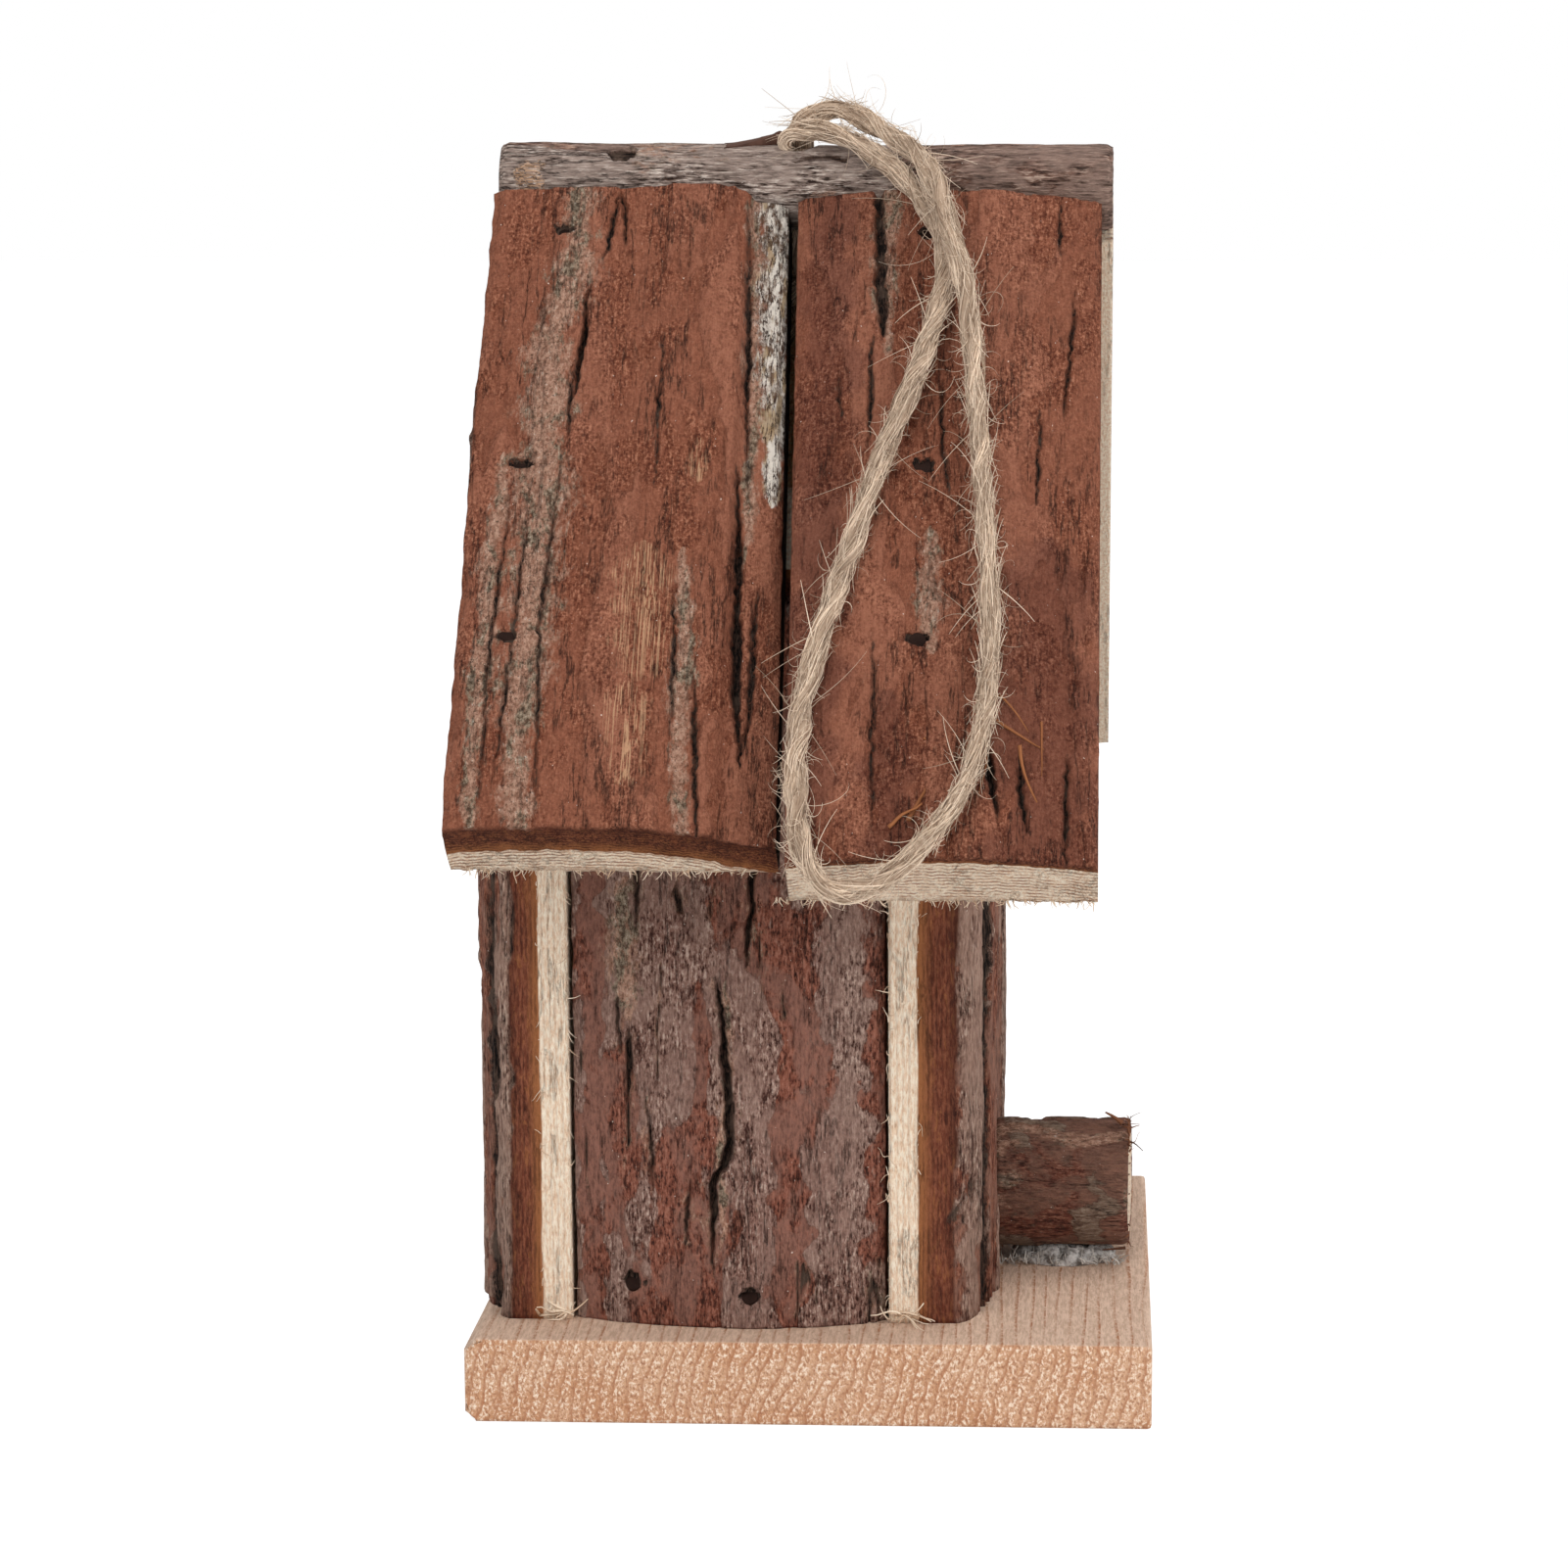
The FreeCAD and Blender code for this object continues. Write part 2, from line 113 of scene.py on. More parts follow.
def add_piece(name, points, faces, material, fields=None):
    """A smooth mesh piece from points in millimetres, with a number or vector per point for each field."""
    mesh = bpy.data.meshes.new(name)
    mesh.from_pydata((points * MM).tolist(), [], [face for group in faces for face in group.tolist()])
    mesh.shade_smooth()
    for field, values in (fields or {}).items():
        kind, key = ("FLOAT", "value") if values.ndim == 1 else ("FLOAT_VECTOR", "vector")
        attribute = mesh.attributes.new(field, kind, "POINT")
        attribute.data.foreach_set(key, values.astype(np.float32).ravel())
    mesh.materials.append(material)
    piece = bpy.data.objects.new(name, mesh)
    bpy.context.scene.collection.objects.link(piece)
    return piece


def tone(red, green, blue):
    """A colour as seen on a screen, 0 to 255, turned into the linear light that shaders use."""
    linear = [((c / 255 + 0.055) / 1.055) ** 2.4 if c > 10 else c / 255 / 12.92 for c in (red, green, blue)]
    return (*linear, 1)


class Shade:
    """A number, vector or colour in a node tree; arithmetic, steps and axis letters carry it on."""

    def __init__(self, nodes, socket):
        self.nodes = nodes
        self.socket = socket

    def __add__(self, other):
        return self.nodes.math("ADD", self, other)

    def __sub__(self, other):
        return self.nodes.math("SUBTRACT", self, other)

    def __rsub__(self, other):
        return self.nodes.math("SUBTRACT", other, self)

    def __mul__(self, other):
        return self.nodes.math("MULTIPLY", self, other)

    def __abs__(self):
        return self.nodes.math("ABSOLUTE", self, 0)

    def __getitem__(self, axis):
        """One part, X, Y or Z, of a vector."""
        return self.nodes.node("ShaderNodeSeparateXYZ", {0: self}, axis)

    def saw(self, period):
        """How far through its present period a number is, from 0 to 1."""
        return self.nodes.math("FRACT", self.nodes.math("DIVIDE", self, period), 0)

    def step(self, low, high):
        """Eased step from 0 at low to 1 at high."""
        values = {0: self, 1: low, 2: high}
        return self.nodes.node("ShaderNodeMapRange", values, interpolation_type="SMOOTHSTEP")


class Nodes:
    """A node tree that nodes are added to."""

    def __init__(self, tree):
        self.tree = tree

    def node(self, kind, values, output=0, **settings):
        """A node's output as a shade; each value goes to an input by name or number, or is linked to it."""
        made = self.tree.nodes.new(kind)
        for key, value in settings.items():
            setattr(made, key, value)
        for key, value in values.items():
            if isinstance(value, Shade):
                self.tree.links.new(value.socket, made.inputs[key])
            else:
                made.inputs[key].default_value = value
        return Shade(self, made.outputs[output])

    def math(self, operation, first, second):
        """Two numbers put together by a named operation."""
        return self.node("ShaderNodeMath", {0: first, 1: second}, operation=operation)


class Finish(Nodes):
    """A procedural material."""

    def __init__(self, name, roughness):
        self.material = bpy.data.materials.new(name)
        self.material.use_nodes = True
        super().__init__(self.material.node_tree)
        self.shader = self.tree.nodes["Principled BSDF"]
        self.shader.inputs["Roughness"].default_value = roughness
        self.shader.inputs["Specular IOR Level"].default_value = 0.12

    def field(self, name, kind="Vector"):
        """A vector, or a number by the kind Fac, kept on the mesh's points."""
        return self.node("ShaderNodeAttribute", {}, kind, attribute_name=name)

    def place(self):
        """The place on the object, in metres."""
        return self.node("ShaderNodeTexCoord", {}, "Object")

    def grain(self, vector, scale, detail=4, rough=0.6, warp=0):
        """Noise from 0 to 1 on a vector stretched by a scale along each axis."""
        laid = self.node("ShaderNodeMapping", {"Vector": vector, "Scale": scale})
        values = {"Vector": laid, "Scale": 1, "Detail": detail, "Roughness": rough, "Distortion": warp}
        return self.node("ShaderNodeTexNoise", values)

    def mix(self, share, first, second, how="MIX"):
        """A colour between two, each a shade, three screen values or four numbers of linear light."""
        first, second = (tone(*c) if isinstance(c, tuple) and len(c) == 3 else c for c in (first, second))
        values = {0: share, 6: first, 7: second}
        return self.node("ShaderNodeMix", values, 2, data_type="RGBA", blend_type=how)

    def paint(self, colour, *coats):
        """A colour under coats, each a share and a colour, laid on one after another."""
        for share, coat in coats:
            colour = self.mix(share, colour, coat)
        return colour

    def finish(self, colour, height, depth):
        """The colour on the shader, and a bump of a depth in metres from a height."""
        self.tree.links.new(colour.socket, self.shader.inputs["Base Color"])
        bump = self.node("ShaderNodeBump", {"Height": height, "Strength": 1, "Distance": depth})
        self.tree.links.new(bump.socket, self.shader.inputs["Normal"])
        return self.material


def board_finish():
    """Pale planed pine: late wood as thin tan lines along the board, and on the sawn ends the same lines,
    leaning, under pale torn specks."""
    wood = Finish("planed_pine", 0.75)
    place = wood.field("grain_at")
    end = wood.field("end_grain", "Fac")
    drift = wood.grain(place, (0.05, 0.07, 0.008), 3)
    ring = (place["X"] + place["Y"] * -0.2 + drift * 7).saw(2.05)
    fade = wood.grain(place, (0.25, 0.25, 0.03), 3).step(0.3, 0.6)
    line = ring.step(0.70, 0.94) * ring.step(1, 0.96) * (fade * 0.6 + 0.3)
    broken = wood.grain(place, (2.4, 2.4, 1.1), 3).step(0.42, 0.56)
    fibre = wood.grain(place, (1.9, 1.9, 0.3), 5, 0.78)
    dust = wood.grain(place, (1.5, 1.5, 1.5), 3).step(0.66, 0.72)
    face = wood.paint(
        (202, 170, 147), (fibre.step(0.40, 0.60), (228, 199, 177)),
        (line * (broken * 0.75 + 0.3), (166, 106, 68)), (dust * 0.8, (150, 106, 78)))
    speck = wood.grain(place, (2.6, 1.7, 0.6), 4, 0.74, 0.3)
    pale = speck + ring.step(0.75, 0.35) * 0.05
    patch = wood.grain(place, (0.10, 0.16, 0.1), 3)
    sawn = wood.paint(
        (209, 158, 121), (patch.step(0.35, 0.65), (221, 178, 145)),
        (speck.step(0.48, 0.38) * 0.9, (170, 118, 89)), (pale.step(0.55, 0.65), (252, 232, 212)),
        (line * 0.8, (178, 118, 83)))
    return wood.finish(wood.mix(end, face, sawn), wood.mix(end, fibre, speck), 0.35 * MM)


def round_off(points, low, high, radius):
    """Points of a block moved onto a rounded block: each lies a radius from the block shrunk by it."""
    core = np.clip(points, low + radius, high - radius)
    out = points - core
    reach = np.linalg.norm(out, axis=1, keepdims=True)
    return np.where(reach > 1e-9, core + out * radius / np.maximum(reach, 1e-9), points)


def base_board():
    """A block with its back edges rounded in the X and Z plane, small arrises, rough ends and brad pits."""
    (a, b, c), quads = block_skin(156, 20, 150)
    size = base_high - base_low
    points = base_low + np.stack([a, c, b], 1) * size
    quads = quads[:, ::-1]
    end = (np.minimum(c, 1 - c) < 1e-9).astype(float)
    profile = points[:, ::2]
    stretched = base_high[::2] + (base_round * 2, 0)
    rounded = round_off(profile, base_low[::2], stretched, base_round)
    points[:, ::2] = np.where(profile[:, :1] < base_low[0] + base_round, rounded, profile)
    points = round_off(points, base_low, base_high, base_arris)
    rough = fractal(points[:, 0] / 0.9, points[:, 2] / 0.9, 5, 3)
    points[:, 1] += end * np.sign(points[:, 1]) * (0.22 * rough - 0.2)
    wave = fractal(points[:, 0] / 14, points[:, 1] / 30, 9, 3)
    points[:, 2] += 0.12 * wave * (points[:, 2] > base_high[2] / 2)
    for x in base_brad_x:
        for y in (-base_brad_y, base_brad_y):
            away = np.hypot(points[:, 0] - x, points[:, 1] - y)
            points[:, 2] += pit_depth * smooth(away, pit_rim, pit_floor) * (b < 1e-9)
    fields = {"grain_at": points[:, (0, 2, 1)], "end_grain": end}
    return add_piece("base_plank", points, [quads], board_finish(), fields)


base_plank = base_board()
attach(base_plank, "house")
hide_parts("base_board")

# Left and right side walls
# One bark-covered log offcut a side, sawn flat inside, standing between the end walls.
# Its outer scales are grey and purple-brown, its under-layers red, and its splits dark, with black cores of
# painted shade.
wall_low = base_high[2]
ridge_height = 157.5
pitch = math.radians(51)
cavity_back, cavity_front = -32.9, 10.6
cavity_half = 26
side_edge, side_crown = 8.2, 4.2
side_bark = 3.6
slab_fit = 0.15
wall_gap = 0.3
under_roof = 0.1
grain_shift = 97
# A fixed depth under the bark for the flat sawn faces keeps the rings' dark lines off them. This is painted
# light, so that faces turned from the lamps show plain pale wood.
flat_face_light_depth = 8.16
fan_height, fan_from = 90, 0.72


def down_grain(z, points):
    """A line down the grain, given as x and z in turn: its x at each z, and a taper to 0 at its ends."""
    line = np.reshape(points, (-1, 2))
    line = line[np.argsort(line[:, 1])]
    inside = np.clip((z - line[0, 1]) / (line[-1, 1] - line[0, 1]), 0, 1)
    return np.interp(z, line[:, 1], line[:, 0]), np.clip(4 * inside * (1 - inside), 0, 1) ** 0.5


def along_line(x, z, points, half_width, wander, seed):
    """How near each place is to a wandering line down the grain: 1 on it, 0 at its tapering half width."""
    middle, taper = down_grain(z, points)
    middle = middle + wander * fractal(z / 5, z * 0, seed + 40, 4)
    width = half_width * taper * (1 + 0.35 * noise(z / 2.5, z * 0, seed + 41))
    return np.clip(1 - np.abs(x - middle) / np.maximum(width, 1e-3), 0, 1) * (taper > 0)


def crack_field(x, z, points, half_width, seed):
    """Nearness to a jagged crack down the grain: 0.85 at the crack's edge, more inside it, and less over
    1.2 mm beside it."""
    middle, taper = down_grain(z, points)
    jag = 0.3 * fractal(z / 9, z * 0, seed + 40, 3) + 0.34 * fractal(z / 1.1, z * 0, seed + 42, 3)
    away = np.abs(x - middle - jag)
    waver = 0.8 / (1 + 0.25 * half_width) * fractal(z / (2 + 3 * half_width), z * 0, seed + 41, 3)
    width = 0.34 * half_width * taper * (1 + waver) - 0.3 * (1 - taper)
    return np.clip(0.85 + (width - away) / 1.2, 0, 1) * (taper > 0)


def arc_height(offset, width, edge, crown):
    """A slab's smooth height over its flat face: a circle's arc that rises by the crown."""
    half = width / 2
    radius = (half * half + crown * crown) / (2 * crown)
    return edge + crown - radius + np.sqrt(np.maximum(radius * radius - offset * offset, 0))


def bark_relief(x, z, seed, style):
    """Bark over a slab's arc: flakes are warped noise cut at a level, splits are where noise crosses zero.
    Gives the rise in millimetres, how deep in a split a place is, how near to one, and how far peeled."""
    warp = 2.2 * fractal(x / 8, z / 22, seed, 3)
    scales = fractal((x + warp) / style["scale"][0], z / style["scale"][1], seed + 1, 5)
    peeled = smooth(scales, style["level"] + 0.08, style["level"] - 0.08)
    under = fractal((x + warp) / 3, z / 15, seed + 2, 4)
    peeled_twice = smooth(under, -0.22, -0.32) * peeled
    cross = np.abs(fractal((x + 0.8 * warp) / 4.6, z / 46, seed + 3, 4))
    where = smooth(fractal(x / 7, z / 16, seed + 4, 3), style["split_from"], style["split_from"] + 0.15)
    split = np.clip(1.05 - cross / 0.10, 0, 1) * where
    bank = np.clip(1 - cross / 0.2, 0, 1) * where
    fine = fractal(x / 0.9, z / 6, seed + 5, 3)
    rough = fractal(x / 1.8, z / 2.4, seed + 12, 3)
    swell = fractal(x / 16, z / 42, seed + 6, 3)
    rise = style["swell"] * swell - style["flake"] * (peeled + 0.7 * peeled_twice - 0.6)
    rise -= style["split"] * smooth(split, 0.4, 1)
    rise += style["rough"] * (0.13 * fine + 0.10 * rough)
    return rise, split, bank, np.clip(0.75 * peeled + 0.35 * peeled_twice, 0, 1)


def add_bark(name, node, points, faces, material, place, marks, layers, depths):
    """A piece of bark that stands for a node, with what its finish reads at each point: the place in the
    grain; splits, lichen and pale strips; scrapes, peeling and sawn faces; and depths under the bark."""
    groups = {"grain_at": place, "bark_marks": marks, "bark_layers": layers, "bark_depth": depths}
    fields = {field: np.stack(values, 1) for field, values in groups.items()}
    piece = add_piece(name, points, faces, material, fields)
    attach(piece, "house")
    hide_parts(node)


def dress_slab(name, node, skin, x, z, arc, frame_axes, seed, style, marks, material):
    """A slab from its lattice: arc and bark relief raise it from its flat face, and marks are laid on it.
    Marks are splits (half width, depth, line), strips of lichen and other layers (half width, line), and
    brad pits. A line is x and z in turn."""
    (a, b, c), quads = skin
    middle, width, edge, crown, bark = arc
    origin, across, out, grain = frame_axes
    face = arc_height(x - middle, width, edge, crown)
    rise, split, bank, peeled = bark_relief(x, z, seed, style)
    lean = z / z.max()
    for part, share in (("profile", 1), ("ridge_twist", 1 - lean), ("eave_twist", lean)):
        face = face + share * np.interp(x, *np.transpose(marks.get(part, ((0, 0), (1, 0)))))
    lichen = style["bank"] * bank
    pale, scrape, stain = np.zeros((3, len(x)))
    ragged = np.maximum(0.3 + 0.5 * fractal(x / 2.2, z / 3.5, seed + 7, 4), 0.02)

    def strips(kind, wander):
        """Nearness to each line of a kind of mark."""
        return [along_line(x, z, line, half, wander, seed) for half, *line in marks.get(kind, ())]

    for near in strips("lichen", 0.8):
        lichen = np.maximum(lichen, 0.9 * near ** 0.7)
    for near in strips("pale", 0.4):
        pale = np.maximum(pale, near ** 0.7)
    for near in strips("peeled", 0.8):
        strip = smooth(near, ragged, 0.3 + ragged)
        rise -= style["flake"] * strip * (1 - peeled)
        peeled = np.maximum(peeled, strip)
    for near in strips("kept", 0.8):
        strip = smooth(near, ragged, 0.3 + ragged)
        rise += style["flake"] * strip * peeled
        peeled = peeled * (1 - strip)
    for near in strips("scrapes", 0.5):
        scrape = np.maximum(scrape, near ** 0.6)
    for near in strips("stains", 0.8):
        stain = np.maximum(stain, smooth(near, ragged - 0.2, 0.4 + ragged))
    # Each split is sunk as a groove. Its mark paints a brown rim and a black core, which is painted shade in
    # the crack over dark torn fibres.
    for half_width, depth, *line in marks.get("splits", ()):
        crack_seed = seed + int(10 * depth) + int(line[0])
        crack = crack_field(x, z, line, half_width, crack_seed)
        rise -= depth * smooth(crack, 0.6, 1)
        split = np.maximum(split, crack)
        near = along_line(x, z, line, 2.2 + half_width, 0.45, crack_seed)
        lichen = np.maximum(lichen, 0.8 * style["bank"] * near)
    rise += 0.25 * pale * (1 + fractal(x / 1.2, z / 3, seed + 8, 3))
    # Brad pits take the split mark, so they are painted black: painted shade in the pit.
    for pit_x, pit_z, stretch in marks.get("pits", ()):
        away = np.hypot((x - pit_x) / 1.2, (z - pit_z) / stretch) + 0.55 * noise(x / 0.8, z / 0.8, seed + 9)
        rise = rise * smooth(away, 1.3, 4) - 0.9 * smooth(away, 1.35, 0.9)
        split = np.maximum(split, smooth(away, 1.7, 1.1))
    from_side = np.minimum(a, 1 - a) * width
    rise -= 0.4 * smooth(from_side, 1.2, 0) * (1 + 0.9 * fractal(z / 6, x * 0, seed + 10, 4))
    height = b * (face + rise)
    depth = np.maximum(face - height, 0) * (b < 1)
    on_side = ((a == 0) | (a == 1)) * smooth(depth, bark, 0)
    side_way = np.where(a == 0, -1, 1) * on_side
    x = x + 0.2 * side_way * (fractal(z / 2.5, height / 1.5, seed + 11, 3) - 0.5)
    # A roof slab's side at the gap between slabs shows no sawn wood and takes the split mark, so it is
    # painted black: painted shade in the gap.
    gap_shade_side = (a == marks.get("gap_shade_side", -1)) & (b < 1)
    split = np.maximum(split, gap_shade_side)
    cut = ((b < 1) & ~gap_shade_side).astype(float)
    points = origin + x[:, None] * across + height[:, None] * out + z[:, None] * grain
    # Flat faces take the fixed depth, which keeps ring lines off them: painted light.
    depths = (depth / bark, np.where(b == 0, flat_face_light_depth, depth), stain)
    add_bark(name, node, points, [quads], material, (x + grain_shift * seed, height, z),
             (split, lichen, pale), (scrape, peeled, cut), depths)


def bark_finish(name, scales, unders, rinds, lay, specks, rings, sheen=0.85):
    """Bark and the sawn wood under it: smooth scales and gritty under-layers with fibres along the grain,
    dashes and hairline cracks, lichen in speckles, tan scrapes, pale specks painted as glints, painted shade
    along the flakes' edges, and splits: dark torn fibres under a black core of painted shade. On sawn faces,
    red inner bark, an amber line and pale wood with rings that follow the bark."""
    bark = Finish(name, sheen)
    place = bark.field("grain_at")
    marks = bark.field("bark_marks")
    layers = bark.field("bark_layers")
    depths = bark.field("bark_depth")

    def grain(across, along, detail, rough=0.6, warp=0):
        """Noise stretched alike in the two ways across the grain."""
        return bark.grain(place, (across, across, along), detail, rough, warp)

    fibre = grain(4, 0.25 + 0.6 * lay, 4, 0.66)
    grit = grain(2.5, 2.6 * lay, 3, 0.70)
    tuft = grain(1.1, 0.15 + 0.5 * lay, 6, 0.72, 0.4)
    worn = grain(0.15, 0.08, 5, 0.65, 0.6).step(0.56, 0.46)
    patch = grain(0.13, 0.045, 5, 0.65, 0.8)
    cloud = grain(0.06, 0.03, 3)
    speckle = grain(1.7, 1.1, 6, 0.78)
    blotch = grain(0.34, 0.16, 5, 0.7, 0.5)
    ragged = grain(1.2, 0.5, 6, 0.75) - 0.5
    weave = fibre * 0.4 + grit * 0.6
    outer = bark.paint(
        scales[0], (tuft.step(0.36, 0.64), scales[1]), (patch.step(0.42, 0.62) * 0.7, scales[2]))
    inner = bark.mix(tuft.step(0.38, 0.62), unders[0], unders[1])
    peeled = (layers["Y"] + ragged * 1.8).step(0.3, 0.7)
    coarse = 1.15 * specks - worn * (0.7 * specks)
    # A darker line along the peeled flakes' edges: painted shade at the steps between layers.
    rim = peeled.step(0, 0.5) * peeled.step(1, 0.5)
    dashed = grain(2.9, 0.33, 3, 0.55).step(0.36, 0.29) * patch.step(0.46, 0.58)
    thread = abs(grain(0.5, 0.05, 8, 0.66) - 0.5).step(0.014, 0.004)
    hairline = bark.math("MAXIMUM", thread * patch.step(0.50, 0.58), dashed * 0.7)
    colour = bark.paint(
        outer, (peeled, inner), (cloud.step(0.40, 0.65) * 0.3, unders[0]), (worn * 0.3, scales[1]),
        (weave.step(0.50, 0.40) * coarse, unders[2]),
        (weave.step(0.51, 0.61) * coarse, bark.mix(peeled, scales[3], unders[3])),
        (tuft.step(0.45, 0.33) * coarse, unders[2]), (rim * 0.4, unders[2]), (hairline * 0.7, (44, 27, 21)))
    colour = bark.mix(depths["Z"], colour, (0.70, 0.68, 0.72, 1), "MULTIPLY")
    scrape = layers["X"]
    scratch = grain(5.6, 0.05, 2, 0.5) + scrape.step(1.2, 2.4) * 0.06
    scratched = (scrape + ragged * 1.2).step(0.30, 0.90) * scratch.step(0.52, 0.60)
    green = bark.mix(speckle.step(0.42, 0.58), (72, 60, 48), (154, 138, 117))
    moss = bark.paint(
        (134, 97, 79), (speckle.step(0.40, 0.60), (190, 151, 129)), (blotch.step(0.50, 0.58), green),
        (speckle.step(0.60, 0.68), (216, 207, 196)), (grit.step(0.45, 0.34) * 0.8, (60, 45, 35)))
    lichen = (marks["Y"] + ragged * 2.2).step(0.3, 0.75)
    tan = grain(0.45, 0.12, 4).step(0.50, 0.58)
    seam = abs(grain(1, 0.14, 6, 0.66) - 0.5).step(0.032, 0.010)
    chalk = bark.paint(
        (112, 88, 72), (grain(0.9, 0.5, 6, 0.72).step(0.38, 0.56), (226, 216, 204)),
        (tan * 0.8, (172, 144, 108)), (seam, (58, 40, 32)), (speckle.step(0.44, 0.34) * 0.8, (62, 44, 35)))
    pale = (marks["Z"] + ragged * 1.6).step(0.25, 0.7)
    # Where the split mark is strong, the colour goes to a brown rim and then a black core. This is painted
    # shade in cracks, pits, the cord's bore and the slab sides at the roof gap, laid over dark torn fibres.
    broken = marks["X"] + ragged * 1.1 + (weave - 0.5) * 0.8
    torn = bark.paint(
        (18, 12, 10), (fibre.step(0.46, 0.64), (84, 64, 54)), (blotch.step(0.50, 0.60) * 0.6, (98, 80, 69)))
    # The first coat is pale specks painted as glints of light on the bark.
    colour = bark.paint(
        colour, (grain(2.6, 2, 1, 0.5).step(0.78, 0.82), (236, 220, 206)),
        (scratched * 0.75, (206, 162, 126)), (lichen * 0.9, moss), (pale, chalk),
        (broken.step(0.58, 0.82) * 0.6, (62, 40, 31)), (broken.step(0.78, 0.90), torn))
    wobble = (grain(0.5, 0.06, 3) - 0.5) * 0.22
    below = depths["X"] + wobble
    layer = (depths["Y"] + wobble * 4 + tuft * 0.7).saw(0.62)
    layer = layer.step(0.3, 0.7) * layer.step(1, 0.8) * (0.35 + 0.65 * rings)
    rind = bark.paint(
        rinds[0], (weave.step(0.43, 0.57), rinds[1]), (tuft.step(0.47, 0.35) * 0.7, unders[2]),
        (tuft.step(0.54, 0.64) * 0.5, rinds[2]), (below.step(0.58, 1) * 0.85, rinds[2]),
        (below.step(0.45, 0) * 0.7, unders[2]), (layer * blotch.step(0.40, 0.60), unders[2]))
    ring = (depths["Y"] + wobble * 3).saw(0.8)
    line = ring.step(0.42, 0.78) * ring.step(1, 0.9) * blotch.step(0.36, 0.54)
    wood = bark.paint(
        (238, 206, 176), (weave.step(0.42, 0.58), (255, 240, 218)), (line * rings, (146, 92, 64)),
        (grit.step(0.41, 0.30) * 0.5, (184, 138, 106)))
    sawn = bark.mix(below.step(0.98, 1.04), rind, wood)
    colour = bark.mix(layers["Z"], colour, sawn)
    return bark.finish(colour, fibre * 0.6 + grit - hairline, 0.55 * MM)


wall_finish = bark_finish(
    "wall_bark",
    ((122, 94, 84), (154, 126, 114), (138, 103, 92), (188, 162, 148)),
    ((112, 62, 48), (144, 90, 73), (54, 30, 24), (160, 108, 90)),
    ((98, 50, 36), (122, 70, 50), (150, 94, 54)), 0.42, 0.88, 0.3)
wall_style = dict(scale=(9, 26), level=-0.02, flake=0.3, split=0.7, split_from=0.16, swell=0.5, bank=0.6,
                  rough=0.8)
left_wall_marks = {
    "splits": (
        (0.9, 1.5, 7.4, 84, 7.6, 70, 8.6, 61),
        (1.3, 1.8, 12.9, 61, 11.7, 55.8, 10.7, 42.7, 11, 36.1, 13.2, 31.7, 13.4, 18.5),
        (0.5, 1, 22.9, 80, 23.6, 66), (0.5, 1, 26, 58, 25.6, 49),
        (0.6, 1.2, 24.3, 53, 24.8, 43), (0.4, 0.9, 22, 44, 21.4, 30),
        (0.4, 0.8, 16.5, 33, 17, 22),
    ),
    "lichen": ((3.4, 25, 74, 24.8, 54), (1.4, 11, 60, 12.2, 22)),
    "peeled": (
        (2.6, 14.6, 60, 15.2, 36, 16.6, 19), (3.6, 29.8, 96, 30, -4),
        (4.5, 3.5, 52, 2.5, 30, 3, 10), (1.6, 5.6, 62, 3, 50),
    ),
    "kept": ((7, 18, 80, 19.5, 62, 19, 50), (5.5, -4.5, 80, -5, 40, -4.6, 12)),
    "pits": ((24.25, 17.8, 0.9), (8.25, 16.4, 0.8)),
}
right_wall_marks = {"pits": ((-24.25, 17.8, 0.9), (-8.25, 16.4, 0.8))}


def side_slab(name, node, side, seed, marks):
    """A side wall: columns go across, and above a height the rows fan out to the slanting roof line."""
    skin = block_skin(150, 12, 250)
    a, b, c = skin[0]
    half = (cavity_front - cavity_back) / 2 - slab_fit - wall_gap
    middle = side * (cavity_front + cavity_back) / 2
    x = middle + (2 * a - 1) * half
    reach = cavity_half + b * arc_height(x - middle, 2 * half, side_edge, side_crown)
    top = ridge_height - under_roof - reach * math.tan(pitch)
    low_part = wall_low + c / fan_from * (fan_height - wall_low)
    high_part = fan_height + (c - fan_from) / (1 - fan_from) * (top - fan_height)
    z = np.where(c < fan_from, low_part, high_part)
    axes = np.array([(0, side * cavity_half, 0), (side, 0, 0), (0, side, 0), (0, 0, 1)])
    arc = (middle, 2 * half, side_edge, side_crown, side_bark)
    dress_slab(name, node, skin, x, z, arc, axes, seed, wall_style, marks, wall_finish)


side_slab("left_wall_bark", "left_wall_slab", -1, 3, left_wall_marks)
side_slab("right_wall_bark", "right_wall_slab", 1, 4, right_wall_marks)

# Front and back end walls
# Two narrower offcuts side by side at each end, so that each end bulges twice, with the round
# entrance sawn through the seam at the front. Their sawn edges show pale wood under thick bark.
end_half = 35
end_seam = 0.15
front_edge, back_edge = 9.8, 8.8
front_crown, back_crown = 4.6, 5.3
front_bark, back_bark = 5.8, 4.8
front_groove, back_groove = 27.5, 31
groove_half, groove_depth = 4, 2
lip_half, lip_depth, lip_step = 3.2, 0.9, 1.7
entrance_radius = 15
entrance_height = 71.6
end_level_top = 100

end_finish = bark_finish(
    "end_wall_bark",
    ((132, 101, 88), (168, 138, 122), (144, 118, 104), (194, 168, 152)),
    ((106, 58, 43), (140, 87, 68), (56, 29, 23), (170, 120, 97)),
    ((106, 56, 40), (136, 81, 60), (164, 106, 66)), 0.3, 0.85, 0.22)
end_style = dict(scale=(6, 40), level=0, flake=0.45, split=1, split_from=0, swell=0.4, bank=0.4,
                 rough=0.8)


def end_rows(count):
    """Heights of an end wall's level rows, closest where the entrance's round edge turns fastest."""
    turn = np.linspace(math.pi, 0, 36)
    around = entrance_height + entrance_radius * np.cos(turn)
    below = np.linspace(wall_low, around[0], count + 1)[:-1]
    above = np.linspace(around[-1], end_level_top, 14)[1:]
    return np.concatenate([below, around, above])


